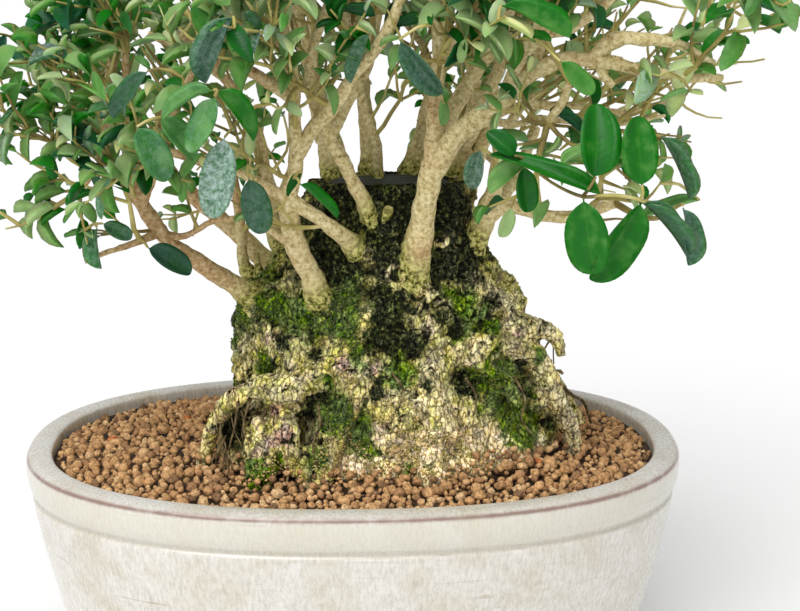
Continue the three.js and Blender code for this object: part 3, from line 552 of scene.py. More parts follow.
def stoneware_glaze(edge_colour):
    """Cream stoneware glaze, poured and fired: glossy, streaked downwards, thin and brown on edges."""
    material, tree, place = new_finish("cream stoneware glaze", {
        "IOR": 1.5, "Coat Weight": 0.35, "Coat Roughness": 0.06,
    })
    runs = add(tree, "Mapping", {"Vector": place, "Scale": per_metre(1.7, 1.7, 6)})
    streaks = add(tree, "TexNoise", {"Vector": runs, "Scale": 1, "Detail": 6, "Roughness": 0.7})
    clouds = add(tree, "TexNoise", {
        "Vector": place, "Scale": per_metre(26), "Detail": 5, "Roughness": 0.6,
    })
    rounds = add(tree, "Mapping", {"Vector": place, "Scale": per_metre(190, 190, 1.9)})
    lines = add(tree, "TexNoise", {"Vector": rounds, "Scale": 1, "Detail": 3, "Distortion": 0.4})
    body = add(tree, "ValToRGB", [streaks], [
        (0.28, "#bdb8ae"), (0.42, "#cfcbc3"), (0.55, "#dad7d0"), (0.7, "#e6e4df"),
    ])
    tinge = add(tree, "ValToRGB", [clouds], [
        (0.32, "#ebe5d8"), (0.46, "#f7f4ee"), (0.58, "#ffffff"), (0.7, "#f1ede6"),
    ])
    where = add(tree, "MapRange", [clouds, 0.46, 0.6])
    hair = add(tree, "MapRange", [lines, 0.62, 0.68, 0, 0.6])
    breaks = add(tree, "TexNoise", {"Vector": place, "Scale": per_metre(9), "Detail": 4})
    worn = add(tree, "MapRange", [breaks, 0.3, 0.6, 0.7, 1.3])
    edge = add(tree, "Attribute", attribute_name="edge")
    pits = add(tree, "TexVoronoi", {"Vector": place, "Scale": per_metre(7)})
    layers = add(tree, "Mix", {SHARE: 0.8, UNDER: body, OVER: tinge}, **SHADES)
    for mask, colour in (
        (add(tree, "Math", [hair, where], operation="MULTIPLY"), linear("#a8967c")),
        (add(tree, "Attribute", attribute_name="band"), linear("#cfcbbc")),
        (add(tree, "Attribute", attribute_name="groove"), linear("#b9b4a4")),
        (add(tree, "Math", [edge, worn], operation="MULTIPLY"), [*edge_colour, 1]),
        (add(tree, "MapRange", [pits, 0.03, 0.06, 0.6, 0]), linear("#9c8f7c")),
    ):
        layers = add(tree, "Mix", {SHARE: mask, UNDER: layers, OVER: colour}, **COLOURS)
    gloss = add(tree, "MapRange", [streaks, 0.35, 0.7, 0.2, 0.4])
    height = add(tree, "Math", [lines, streaks], operation="ADD")
    bump = add(tree, "Bump", {"Strength": 0.3, "Distance": 0.3 * MM, "Height": height})
    return finished(material, {"Base Color": layers, "Roughness": gloss, "Normal": bump})


def stump_bark():
    """Old olive bark: crumbling cork in flakes, speckled with algae and moss, with painted shade that
    blackens its cracks and hollows.
    """
    material, tree, place = new_finish("old olive bark", {
        "Roughness": 0.93, "IOR": 1.4, "Specular IOR Level": 0.2,
    })
    grain = add(tree, "TexNoise", {
        "Vector": place, "Scale": per_metre(2.6), "Detail": 6, "Roughness": 0.72, "Distortion": 0.5,
    })
    blotch = add(tree, "TexNoise", {
        "Vector": place, "Scale": per_metre(12), "Detail": 8, "Roughness": 0.7, "Distortion": 0.6,
    })
    drift = add(tree, "VectorMath", [blotch.outputs["Color"], (7 * MM,) * 3, place],
                operation="MULTIPLY_ADD")
    strokes = add(tree, "Mapping", {"Vector": drift, "Scale": per_metre(1, 1, 2.3)})
    flakes = add(tree, "TexVoronoi", {"Vector": strokes, "Scale": 1})
    flake = add(tree, "SeparateXYZ", [flakes.outputs["Color"]])
    picked = add(tree, "MapRange", [flake.outputs["Y"], 0, 1, -0.05, 0.05])
    spotted = add(tree, "Math", [grain, picked], operation="ADD")
    mottled = add(tree, "Math", [blotch, picked], operation="ADD")
    layers = add(tree, "ValToRGB", [mottled], [
        (0.32, "#66642f"), (0.41, "#a8a55a"), (0.47, "#cbc477"), (0.54, "#dfd199"), (0.61, "#cab088"),
        (0.7, "#ebddad"),
    ])
    for attribute, stops in {
        "pale": [(0.36, "#aa9a60"), (0.5, "#d6c98e"), (0.64, "#ebe3b6")],
        "pink": [(0.36, "#786050"), (0.5, "#b99a82"), (0.64, "#e0c8b0")],
        "mound": [(0.36, "#b3aa5c"), (0.43, "#d6cb82"), (0.5, "#f3deaa"), (0.62, "#fceccb")],
        "dark": [(0.38, "#0b0e07"), (0.5, "#212716"), (0.58, "#50552f"), (0.66, "#8a8654")],
        "moss": [(0.36, "#20350e"), (0.46, "#44631b"), (0.56, "#6e8a2c"), (0.68, "#a8b054")],
        # crevice_shade: near-black painted shade in the cracks, hollows and scar pits, partly the
        # cracks' own dark
        "crevice_shade": [(0.42, "#0a0b06"), (0.56, "#262a17"), (0.68, "#6a6a3a")],
    }.items():
        colours = add(tree, "ValToRGB", [spotted], stops)
        shifted = add(tree, "Math", [mottled, -0.5], operation="ADD")
        strong = add(tree, "Math", [shifted, 2.2], operation="MULTIPLY")
        mask = add(tree, "Attribute", attribute_name=attribute)
        ragged = add(tree, "Math", [mask, strong], operation="ADD")
        share = add(tree, "MapRange", [ragged, 0.28, 0.64])
        layers = add(tree, "Mix", {SHARE: share, UNDER: layers, OVER: colours}, **COLOURS)
    pores = add(tree, "MapRange", [grain, 0.36, 0.45, 0.3, 1.15])
    porous = add(tree, "Mix", {SHARE: 1, UNDER: layers, OVER: pores}, **SHADES)
    plates = add(tree, "TexVoronoi", {"Vector": strokes, "Scale": 0.3}, feature="DISTANCE_TO_EDGE")
    cracks = add(tree, "MapRange", [plates, 0, 0.1, 0.32, 1])
    speckle = add(tree, "MapRange", [flake.outputs["X"], 0, 1, 0.8, 1.4])
    shaded = add(tree, "Math", [speckle, cracks], operation="MULTIPLY")
    broad = add(tree, "TexNoise", {
        "Vector": place, "Scale": per_metre(11), "Detail": 3, "Roughness": 0.6,
    })
    weather = add(tree, "MapRange", [broad, 0.38, 0.58, 0.85, 1.55])
    both = add(tree, "Math", [shaded, weather], operation="MULTIPLY")
    dusted = add(tree, "Mix", {SHARE: 1, UNDER: porous, OVER: both}, **SHADES)
    tones = add(tree, "SeparateXYZ", [broad.outputs["Color"]])
    hue = add(tree, "MapRange", [tones.outputs["Y"], 0.38, 0.62, 0.482, 0.504])
    wash = add(tree, "MapRange", [tones.outputs["Z"], 0.4, 0.6, 0.82, 1.12])
    varied = add(tree, "HueSaturation", {"Hue": hue, "Saturation": wash, "Color": dusted})
    fine = add(tree, "Bump", {"Strength": 1, "Distance": 1.4 * MM, "Height": grain})
    chips = add(tree, "Bump", {"Strength": 1, "Distance": 0.9 * MM, "Height": cracks, "Normal": fine})
    return finished(material, {"Base Color": varied, "Normal": chips})


def branch_bark():
    """Tan olive bark of younger wood, finely cracked, with dark lenticels, greener near the stump."""
    material, tree, place = new_finish("young olive bark", {
        "Roughness": 0.85, "IOR": 1.4, "Specular IOR Level": 0.25,
    })
    mottle = add(tree, "TexNoise", {
        "Vector": place, "Scale": per_metre(2.4), "Detail": 7, "Roughness": 0.66,
    })
    tone = add(tree, "TexNoise", {"Vector": place, "Scale": per_metre(45), "Detail": 3})
    skin = add(tree, "ValToRGB", [mottle], [
        (0.3, "#86734a"), (0.4, "#bba76f"), (0.5, "#d8c693"), (0.6, "#e8dbac"), (0.72, "#f5ecca"),
    ])
    russet = add(tree, "ValToRGB", [mottle], [
        (0.3, "#84653d"), (0.42, "#b39163"), (0.54, "#ccae82"), (0.7, "#e6d2ab"),
    ])
    algae = add(tree, "ValToRGB", [mottle], [
        (0.38, "#26270f"), (0.46, "#7f7f3a"), (0.54, "#c2bb6c"), (0.68, "#e8dfa2"),
    ])
    sides = add(tree, "SeparateXYZ", [place])
    leftward = add(tree, "MapRange", [sides.outputs["X"], -20 * MM, -75 * MM, 0, 0.3])
    leaning = add(tree, "Math", [tone, leftward], operation="ADD")
    warm = add(tree, "MapRange", [leaning, 0.58, 0.78])
    foot = add(tree, "Attribute", attribute_name="foot")
    ragged = add(tree, "Math", [foot, mottle], operation="ADD")
    mossy = add(tree, "MapRange", [ragged, 0.9, 1.25])
    pores = add(tree, "TexNoise", {
        "Vector": place, "Scale": per_metre(1.9), "Detail": 3, "Roughness": 0.6,
    })
    spots = add(tree, "MapRange", [pores, 0.3, 0.36, 0.7, 0])
    layers = skin
    for mask, colour in ((warm, russet), (mossy, algae), (spots, linear("#453a22"))):
        layers = add(tree, "Mix", {SHARE: mask, UNDER: layers, OVER: colour}, **COLOURS)
    bump = add(tree, "Bump", {"Strength": 0.8, "Distance": 0.6 * MM, "Height": mottle})
    return finished(material, {"Base Color": layers, "Normal": bump})


def mottled_finish(name, values, noise_inputs, stops, bump=None):
    """A finish of one mottled pattern. A bump makes the pattern a relief too."""
    material, tree, place = new_finish(name, values)
    mottle = add(tree, "TexNoise", {"Vector": place, **noise_inputs})
    nodes = {"Base Color": add(tree, "ValToRGB", [mottle], stops)}
    if bump:
        nodes["Normal"] = add(tree, "Bump", {**bump, "Height": mottle})
    return finished(material, nodes)


def root_fibre():
    """Dry rootlets: grey-brown, dull."""
    mottle = {"Scale": per_metre(5), "Detail": 4}
    return mottled_finish("dry rootlet", {"Roughness": 0.9, "IOR": 1.4}, mottle, [
        (0.35, "#3c3220"), (0.52, "#6d5c3c"), (0.68, "#a3936a"),
    ])


def twig_bark():
    """Thin green-brown bark of this year's twigs."""
    return mottled_finish("green olive twig bark", {"Roughness": 0.6, "IOR": 1.4}, {
        "Scale": per_metre(22), "Detail": 4,
    }, [(0.32, "#7d6d3c"), (0.46, "#a39455"), (0.58, "#b9ae64"), (0.72, "#d9cc95")])


def moulded_mesh_plastic():
    """Black polyethylene drain mesh, moulded: a fine matt grain."""
    return mottled_finish("moulded black polyethylene", {"Roughness": 0.5, "IOR": 1.51}, {
        "Scale": per_metre(0.8), "Detail": 3,
    }, [(0.3, "#1f2120"), (0.7, "#333635")], {"Strength": 0.3, "Distance": 0.1 * MM})


def annealed_wire():
    """Soft annealed aluminium wire: dull silver with fine drawing lines."""
    return mottled_finish("annealed aluminium wire", {"Metallic": 1, "Roughness": 0.38}, {
        "Scale": per_metre(1.2), "Detail": 4,
    }, [(0.3, "#7d8083"), (0.7, "#a4a7aa")])


def from_midrib(tree):
    """How far a spot of a leaf lies from its midrib, and how far along it."""
    blade = add(tree, "SeparateXYZ", [add(tree, "UVMap")])
    off_middle = add(tree, "Math", [blade.outputs["X"], -0.5], operation="ADD")
    return add(tree, "Math", [off_middle], operation="ABSOLUTE"), blade.outputs["Y"]


def leaf_face():
    """Upper face of an olive leaf: leathery, deep green and waxy, with a chalky film on some."""
    material, tree, place = new_finish("olive leaf, upper face", {
        "Roughness": 0.38, "IOR": 1.45, "Specular IOR Level": 0.28, "Subsurface Weight": 0.25,
        "Subsurface Radius": (0.3, 1.0, 0.1), "Subsurface Scale": 1 * MM,
    })
    tint = add(tree, "Attribute", attribute_name="tint")
    mottle = add(tree, "TexNoise", {"Vector": place, "Scale": per_metre(9), "Detail": 4})
    shift = add(tree, "MapRange", [mottle, 0.3, 0.7, -0.07, 0.07])
    shade = add(tree, "Math", [tint, shift], operation="ADD", use_clamp=True)
    green = add(tree, "ValToRGB", [shade], [
        (0.0, "#1e4f3a"), (0.14, "#124f1d"), (0.34, "#106a0c"), (0.46, "#5b9043"), (0.62, "#8db06c"),
        (0.82, "#b2c98d"), (1.0, "#cfd78e"),
    ])
    from_rib, along = from_midrib(tree)
    rib = add(tree, "MapRange", [from_rib, 0, 0.035, 0.12, 0])
    ribbed = add(tree, "Mix", {SHARE: rib, UNDER: green, OVER: linear("#6fa03c")}, **COLOURS)
    film = add(tree, "Attribute", attribute_name="film")
    chalk = add(tree, "TexNoise", {
        "Vector": place, "Scale": per_metre(2.6), "Detail": 7, "Roughness": 0.75,
    })
    patches = add(tree, "MapRange", [chalk, 0.4, 0.64, 0.1, 0.8])
    filmed = add(tree, "Math", [patches, film], operation="MULTIPLY")
    chalky = add(tree, "Mix", {SHARE: filmed, UNDER: ribbed, OVER: linear("#b4c6c2")}, **COLOURS)
    slope = add(tree, "Math", [from_rib, -0.55], operation="MULTIPLY")
    slanted = add(tree, "Math", [along, slope], operation="ADD")
    veins = add(tree, "Math", [slanted, 60], operation="MULTIPLY")
    ripple = add(tree, "Math", [veins], operation="SINE")
    bump = add(tree, "Bump", {"Strength": 0.08, "Distance": 0.3 * MM, "Height": ripple})
    return finished(material, {"Base Color": chalky, "Normal": bump})


def leaf_back():
    """Underside of an olive leaf: felted with fine scales, grey-green and dull."""
    material, tree, _ = new_finish("olive leaf, underside", {
        "Roughness": 0.6, "IOR": 1.4, "Specular IOR Level": 0.25, "Subsurface Weight": 0.25,
        "Subsurface Radius": (0.5, 1.0, 0.25), "Subsurface Scale": 1 * MM,
    })
    tint = add(tree, "Attribute", attribute_name="tint")
    green = add(tree, "ValToRGB", [tint], [(0.0, "#8fab92"), (0.4, "#a2bc8c"), (1.0, "#cbd7a2")])
    from_rib, _ = from_midrib(tree)
    rib = add(tree, "MapRange", [from_rib, 0.01, 0.06, 0.6, 0])
    ribbed = add(tree, "Mix", {SHARE: rib, UNDER: green, OVER: linear("#cbd6a4")}, **COLOURS)
    return finished(material, {"Base Color": ribbed})


def moss_velvet():
    """Short living moss: soft and dull, from deep to yellow green."""
    material, tree, place = new_finish("cushion moss", {
        "Roughness": 1, "IOR": 1.35, "Sheen Weight": 0.3,
    })
    tint = add(tree, "Attribute", attribute_name="tint")
    patch = add(tree, "TexNoise", {"Vector": place, "Scale": per_metre(16), "Detail": 3})
    shift = add(tree, "MapRange", [patch, 0.3, 0.7, -0.35, 0.35])
    shade = add(tree, "Math", [tint, shift], operation="ADD", use_clamp=True)
    green = add(tree, "ValToRGB", [shade], [
        (0.0, "#2d4214"), (0.35, "#4e6522"), (0.65, "#737f33"), (1.0, "#a5a45a"),
    ])
    return finished(material, {"Base Color": green})


def akadama_clay(name, stops):
    """Baked akadama clay granules: porous, dull and gritty, each granule of its own tint."""
    material, tree, place = new_finish(name, {"Roughness": 0.95, "IOR": 1.4, "Specular IOR Level": 0.2})
    tint = add(tree, "Attribute", attribute_name="tint")
    clay = add(tree, "ValToRGB", [tint], stops)
    grit = add(tree, "TexNoise", {
        "Vector": place, "Scale": per_metre(1.8), "Detail": 5, "Roughness": 0.75,
    })
    shade = add(tree, "MapRange", [grit, 0.36, 0.6, 0.36, 1.18])
    gritty = add(tree, "Mix", {SHARE: 1, UNDER: clay, OVER: shade}, **SHADES)
    bump = add(tree, "Bump", {"Strength": 1, "Distance": 0.9 * MM, "Height": grit})
    return finished(material, {"Base Color": gritty, "Normal": bump})


def granular_bed(name, size, dark, light):
    """Packed granules seen in the gaps between the loose ones: each cell its own shade."""
    material, tree, place = new_finish(name, {"Roughness": 0.96, "IOR": 1.4})
    cells = add(tree, "TexVoronoi", {"Vector": place, "Scale": per_metre(size)})
    shade = add(tree, "MapRange", [cells.outputs["Color"], 0.2, 0.8])
    colours = add(tree, "Mix", {SHARE: shade, UNDER: linear(dark), OVER: linear(light)}, **COLOURS)
    bump = add(tree, "Bump", {"Strength": 1, "Distance": 1.5 * MM, "Height": cells}, invert=True)
    return finished(material, {"Base Color": colours, "Normal": bump})


def sealing_paste():
    """Grey wound paste, spread with a knife and dried: matt, with faint spreading marks."""
    material, tree, place = new_finish("dried wound paste", {"Roughness": 0.75, "IOR": 1.45})
    smears = add(tree, "Mapping", {"Vector": place, "Scale": per_metre(30, 4, 4)})
    marks = add(tree, "TexNoise", {"Vector": smears, "Scale": 1, "Detail": 5})
    colours = add(tree, "ValToRGB", [marks], [(0.35, "#2d302f"), (0.55, "#434745"), (0.72, "#5d625f")])
    bump = add(tree, "Bump", {"Strength": 0.6, "Distance": 0.6 * MM, "Height": marks})
    return finished(material, {"Base Color": colours, "Normal": bump})


# ---------------------------------------------------------------- shapes, all in millimetres

def curve_at(points, share):
    """The place at a share from 0 to 1 of the centripetal Catmull-Rom curve through the points."""
    last = len(points) - 1
    position = min(max(share, 0), 1 - 1e-9) * last
    number = int(position)
    weight = position - number
    here, there = points[number], points[number + 1]
    before = points[number - 1] if number else 2 * here - there
    after = points[number + 2] if number + 2 <= last else 2 * there - here
    pairs = ((before, here), (here, there), (there, after))
    first, middle, third = (max(np.linalg.norm(b - a) ** 0.5, 1e-4) for a, b in pairs)
    leave = (here - before) / first - (there - before) / (first + middle) + (there - here) / middle
    arrive = (there - here) / middle - (after - here) / (middle + third) + (after - there) / third
    leave = leave * middle
    arrive = arrive * middle
    bend = 3 * (there - here) - 2 * leave - arrive
    turn = 2 * (here - there) + leave + arrive
    return here + leave * weight + bend * weight ** 2 + turn * weight ** 3


def even_path(points, step, gnarl=0.0, swell=0.0):
    """Points about a step apart on the smooth path through (x, y, z, radius) points."""
    points = np.array(points, float)
    length = np.linalg.norm(np.diff(points[:, :3], axis=0), axis=1).sum()
    count = max(2, math.ceil(length / step))
    stops = np.arange(len(points))
    path = []
    for number in range(count + 1):
        share = number / count
        place = Vector(curve_at(points[:, :3], share))
        radius = np.interp(share * (len(points) - 1), stops, points[:, 3])
        ease = min(1, 4 * share, 4 * (1 - share) + 0.2)
        place += noise.noise_vector(place / 17) * gnarl * ease
        radius *= 1 + swell * noise.noise(place / 7) + swell * max(0, noise.noise(place / 15)) * 1.5
        path.append((*place, radius))
    return path


def put(name, data):
    """A new object in the scene."""
    thing = bpy.data.objects.new(name, data)
    bpy.context.scene.collection.objects.link(thing)
    return thing


def evaluated(data, *modifiers):
    """The mesh that a curve or mesh gives once its modifiers have run. The source is dropped."""
    source = put("blank", data)
    for kind, settings in modifiers:
        modifier = source.modifiers.new(kind, kind)
        for name, value in settings.items():
            setattr(modifier, name, value)
    depsgraph = bpy.context.evaluated_depsgraph_get()
    mesh = bpy.data.meshes.new_from_object(source.evaluated_get(depsgraph))
    bpy.data.objects.remove(source)
    return mesh


def tubes(paths, roundness):
    """Closed tapering tubes along paths of (x, y, z, radius); each has 4 + 2 x roundness sides."""
    curve = bpy.data.curves.new("tubes", "CURVE")
    curve.dimensions = "3D"
    curve.bevel_depth = 1
    curve.bevel_resolution = roundness
    curve.use_fill_caps = True
    for path in paths:
        spline = curve.splines.new("POLY")
        spline.points.add(len(path) - 1)
        for point, (x, y, z, radius) in zip(spline.points, path):
            point.co = (x, y, z, 1)
            point.radius = radius
    return evaluated(curve)


def spun(outline, segments):
    """A closed body of revolution about Z from an outline of (radius, height) that ends on the axis."""
    bm = bmesh.new()
    verts = [bm.verts.new((radius, 0, height)) for radius, height in outline]
    edges = [bm.edges.new(pair) for pair in zip(verts, verts[1:])]
    bmesh.ops.spin(bm, geom=verts + edges, cent=(0, 0, 0), axis=(0, 0, 1), angle=FULL_TURN,
                   steps=segments, use_merge=True)
    bmesh.ops.remove_doubles(bm, verts=bm.verts, dist=0.001)
    bmesh.ops.recalc_face_normals(bm, faces=bm.faces)
    return bm


def to_mesh(name, bm):
    mesh = bpy.data.meshes.new(name)
    bm.to_mesh(mesh)
    bm.free()
    return mesh


def joined(name, meshes):
    """One mesh from several."""
    bm = bmesh.new()
    for mesh in meshes:
        bm.from_mesh(mesh)
    return to_mesh(name, bm)


def read(items, key, width=1, kind=np.float32):
    """One property of each of a mesh's items, as an array."""
    values = np.empty(len(items) * width, kind)
    items.foreach_get(key, values)
    return values.reshape(-1, width) if width > 1 else values


def copies(name, template, matrices, **values):
    """One mesh with a copy of the template at each matrix, each with its own attribute values."""
    count = len(matrices)
    size = len(template.vertices)
    turns = np.array(matrices, np.float32)
    shape = read(template.vertices, "co", 3)
    places = np.einsum("nij,pj->npi", turns[:, :3, :3], shape) + turns[:, None, :3, 3]
    corners = read(template.loops, "vertex_index", kind=np.int32)
    starts = read(template.polygons, "loop_start", kind=np.int32)
    slots = read(template.polygons, "material_index", kind=np.int32)
    numbers = np.arange(count, dtype=np.int32)[:, None]
    mesh = bpy.data.meshes.new(name)
    mesh.vertices.add(count * size)
    mesh.vertices.foreach_set("co", places.ravel())
    mesh.loops.add(count * len(corners))
    mesh.loops.foreach_set("vertex_index", (corners + size * numbers).ravel())
    mesh.polygons.add(count * len(starts))
    mesh.polygons.foreach_set("loop_start", (starts + len(corners) * numbers).ravel())
    mesh.polygons.foreach_set("material_index", np.tile(slots, count))
    if template.uv_layers:
        flat = read(template.uv_layers[0].data, "uv", 2).ravel()
        mesh.uv_layers.new(name="UVMap").data.foreach_set("uv", np.tile(flat, count))
    for attribute, each in values.items():
        set_attribute(mesh, attribute, np.repeat(np.array(each, np.float32), size))
    mesh.update(calc_edges=True)
    return mesh


def set_finish(mesh, *materials):
    mesh.materials.clear()
    for material in materials:
        mesh.materials.append(material)


def add_piece(name, mesh, materials, stands_for=()):
    """Puts a mesh made in millimetres into the scene, smooth, riding on the tree's one body."""
    mesh.transform(Matrix.Scale(MM, 4))
    set_finish(mesh, *materials)
    mesh.shade_smooth()
    mesh.name = name
    piece = put(name, mesh)
    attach(piece, "root")
    if stands_for:
        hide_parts(*stands_for)


def set_attribute(mesh, name, values):
    layer = mesh.attributes.new(name, "FLOAT", "POINT")
    layer.data.foreach_set("value", np.asarray(values, np.float32))


def jitter(rng, reach=1):
    """A random shift, up to a reach along each axis."""
    return Vector([rng.uniform(-reach, reach) for _ in range(3)])


def nearness(places, centre, reach):
    """1 at the centre, falling to nothing a few reaches away."""
    distances = np.linalg.norm(places - np.array(centre), axis=-1)
    return np.exp(-(distances / reach) ** 2)


def stump_surface():
    """The finished stump as a tree of faces, in millimetres."""
    mesh = bpy.data.objects["stump_wood"].data
    places = read(mesh.vertices, "co", 3) / MM
    return BVHTree.FromPolygons(places.tolist(), [face.vertices[:] for face in mesh.polygons])


# ---------------------------------------------------------------- pot

def oval_point(angle, radius):
    """A point of the pot's plan. Rings are inset square to the rim, so the wall stays even."""
    reach = max(radius, POT_CORE_RADIUS)
    cos, sin = math.cos(angle), math.sin(angle)
    x = POT_HALF_LENGTH * math.copysign(abs(cos) ** (2 / POT_OVAL_POWER), cos)
    y = POT_HALF_WIDTH * math.copysign(abs(sin) ** (2 / POT_OVAL_POWER), sin)
    slope_x = math.copysign((abs(x) / POT_HALF_LENGTH) ** (POT_OVAL_POWER - 1) / POT_HALF_LENGTH, x)
    slope_y = math.copysign((abs(y) / POT_HALF_WIDTH) ** (POT_OVAL_POWER - 1) / POT_HALF_WIDTH, y)
    inset = (POT_HALF_LENGTH - reach) / math.hypot(slope_x, slope_y)
    shrink = radius / reach
    return (x - slope_x * inset) * shrink, (y - slope_y * inset) * shrink


def box_and_rod_cutters():
    """The notches that part the foot ring into four feet, and the two drain holes."""
    bm = bmesh.new()
    middle = Matrix.Translation((0, 0, FOOT_HEIGHT / 2 - 0.5))
    for length, width in ((4 * POT_HALF_LENGTH, SIDE_NOTCH), (LONG_NOTCH, 4 * POT_HALF_WIDTH)):
        size = Matrix.Diagonal((length, width, FOOT_HEIGHT, 1))
        bmesh.ops.create_cube(bm, size=1, matrix=middle @ size)
    for side in (-1, 1):
        place = Matrix.Translation((side * DRAIN_HOLE_X, 0, 15))
        bmesh.ops.create_cone(bm, cap_ends=True, segments=48, radius1=DRAIN_HOLE_RADIUS,
                              radius2=DRAIN_HOLE_RADIUS, depth=24, matrix=place)
    return to_mesh("cutters", bm)


def pot_mesh(settings):
    """The thrown oval pot, with the finger lines of its making, its groove, rim, feet and holes."""
    section = [(radius, 0, height, 0) for radius, height in POT_SECTION]
    outline = [(x, z) for x, _, z, _ in even_path(section, 1.3)]
    bm = spun(POT_UNDERSIDE + outline + [(0, 20)], POT_SEGMENTS)
    edge, groove, band = (bm.verts.layers.float.new(name) for name in ("edge", "groove", "band"))
    depth = settings.finger_lines / MM
    fade_heights = (THROWING_FOOT, THROWING_FOOT + 10, THROWING_TOP - 10, THROWING_TOP)
    for vert in bm.verts:
        radius = math.hypot(vert.co.x, vert.co.y)
        angle = math.atan2(vert.co.y, vert.co.x)
        z = vert.co.z
        outside = radius > 140 and z > 12 and radius > np.interp(z, (20, 118, 125), (150, 174, 178))
        if outside:
            vert[edge] = math.exp(-((z - EDGE_HEIGHT) / 1.1) ** 2)
            vert[band] = 0.7 * min(1, max(0, (z - 102.5) / 3)) * min(1, max(0, (122 - z) / 3))
            vert[groove] = 0.7 * math.exp(-((z - GROOVE_HEIGHT) / 1.2) ** 2)
            fade = np.interp(z, fade_heights, (0, 1, 1, 0))
            wave = noise.noise(Vector((math.cos(angle) * 0.5, math.sin(angle) * 0.5, z / 3.4)))
            radius += depth * fade * wave
        vert.co = (*oval_point(angle, radius), z)
    cutters = put("cutters", box_and_rod_cutters())
    cut = {"object": cutters, "operation": "DIFFERENCE", "solver": "EXACT"}
    mesh = evaluated(to_mesh("pot", bm), ("BOOLEAN", cut))
    bpy.data.objects.remove(cutters)
    return mesh


# ---------------------------------------------------------------- stump

def stump_point(angle, share, height):
    """A point at a share of the way from the stump's core to its outline at a height."""
    heights, *sides = STUMP_OUTLINE.T
    left, right, front, back = (np.interp(height, heights, side) for side in sides)
    flute = share * (1 + STUMP_FLUTE_DEPTH * math.sin(STUMP_FLUTES * angle + height / 40))
    x = (left + right) / 2 + math.cos(angle) * (right - left) / 2 * flute
    y = (front + back) / 2 + math.sin(angle) * (back - front) / 2 * flute
    return x, y, height


def ridge_paths(rng):
    """Corded swellings that wander down the stump from the branches to the roots."""
    paths = []
    for number in range(RIDGES):
        angle = number / RIDGES * FULL_TURN + rng.uniform(-0.12, 0.12)
        top = rng.uniform(205, 266)
        foot = rng.uniform(116, 176)
        path = []
        for height in np.arange(top, foot, -11):
            angle += rng.uniform(-0.1, 0.1)
            path.append((*stump_point(angle, 0.965, height), rng.uniform(2.4, 5)))
        paths.append(path)
    return paths


def root_strands(rng, path):
    """Fibres that lie along a root and make its skin stringy."""
    strands = []
    for _ in range(4):
        angle = rng.uniform(0, FULL_TURN)
        strand = []
        for x, y, z, radius in path[::2]:
            angle += rng.uniform(-0.35, 0.35)
            around = Vector((math.cos(angle), math.sin(angle), 0.5 * math.sin(angle * 1.7)))
            around.normalize()
            strand.append((*(Vector((x, y, z)) + around * radius * 0.85), 1.2 + 0.7 * rng.random()))
        if len(strand) > 2:
            strands.append(strand)
    return strands


def cork_blocks(rng, mesh, count):
    """Angular blocks of cork let into the skin at random: tall above, squat on the shoulders."""
    faces = [(face.center.copy(), face.normal.copy()) for face in mesh.polygons
             if 150 < face.center.z < TRUNK_TOP - 4]
    bm = bmesh.new()
    for centre, normal in rng.choices(faces, k=count):
        tall = centre.z > 218 and abs(centre.x - STUMP_MIDDLE_X) < 64
        size = (rng.uniform(2.5, 6), rng.uniform(2.4, 4.4), rng.uniform(*(7, 17) if tall else (3, 7)))
        turn = (normal + jitter(rng, 0.35)).to_track_quat("Y", "Z").to_matrix()
        shape = (turn @ Matrix.Rotation(rng.uniform(-0.5, 0.5) * (0.5 if tall else 2), 3, "Y")
                 @ Matrix.Diagonal(size)).to_4x4()
        shape.translation = centre - normal * rng.uniform(-0.2, 1.2)
        bmesh.ops.create_cube(bm, size=1, matrix=shape)
    return to_mesh("cork", bm)


def stump_blank(voxel, rng):
    """Stump, burls, roots, the collars of the branches and cork, melted into one skin."""
    heights = np.arange(TRUNK_FOOT, TRUNK_TOP + 0.1, 4)
    bm = spun([(0, TRUNK_FOOT)] + [(1, height) for height in heights] + [(0, TRUNK_TOP)], 80)
    for vert in bm.verts:
        share = min(1, math.hypot(vert.co.x, vert.co.y))
        vert.co = stump_point(math.atan2(vert.co.y, vert.co.x), share, vert.co.z)
    for centre, radii in BURLS:
        shape = Matrix.Translation(centre) @ Matrix.Diagonal((*radii, 1))
        bmesh.ops.create_icosphere(bm, subdivisions=4, radius=1, matrix=shape)
    core = to_mesh("core", bm)
    collars = []
    for points in [points for name, points in BRANCHES.items() if name != "right_reach"] + STUBS[:2]:
        if points[0][2] > TRUNK_TOP:
            continue
        foot, rise = np.array(points[:2], float)
        rise = foot + (rise - foot) * (0.6, 0.6, 0.6, 0.2)
        collars.append(even_path([foot * (1, 1, 1, 1.6), rise], 3))
    ridges = [even_path(points, 3, gnarl=2, swell=0.15) for points in ridge_paths(rng)]
    lip = []
    for turn in range(41):
        angle = turn / 40 * FULL_TURN
        x, y, _ = stump_point(angle, 0.93, TRUNK_TOP)
        z = TRUNK_TOP - 1 + 4.5 * max(0, -math.sin(angle))
        lip.append((x, y, z, 3.4 + 0.8 * noise.noise(Vector((x, y, 0)) / 9)))
    rough = evaluated(joined("rough", [core, tubes(collars, 4), tubes(ridges + [lip], 3)]),
                      ("REMESH", {"mode": "VOXEL", "voxel_size": 3}))
    roots = [even_path(points, 3, gnarl=2, swell=0.2) for points in ROOTS + FINGER_ROOTS]
    strands = [strand for path in roots for strand in root_strands(rng, path)]
    cork = cork_blocks(rng, rough, CORK_BLOCKS)
    blank = joined("stump", [rough, cork, tubes(roots, 4), tubes(strands, 1)])
    return evaluated(blank, ("REMESH", {"mode": "VOXEL", "voxel_size": voxel}),
                     ("SMOOTH", {"factor": 0.5, "iterations": 1}))


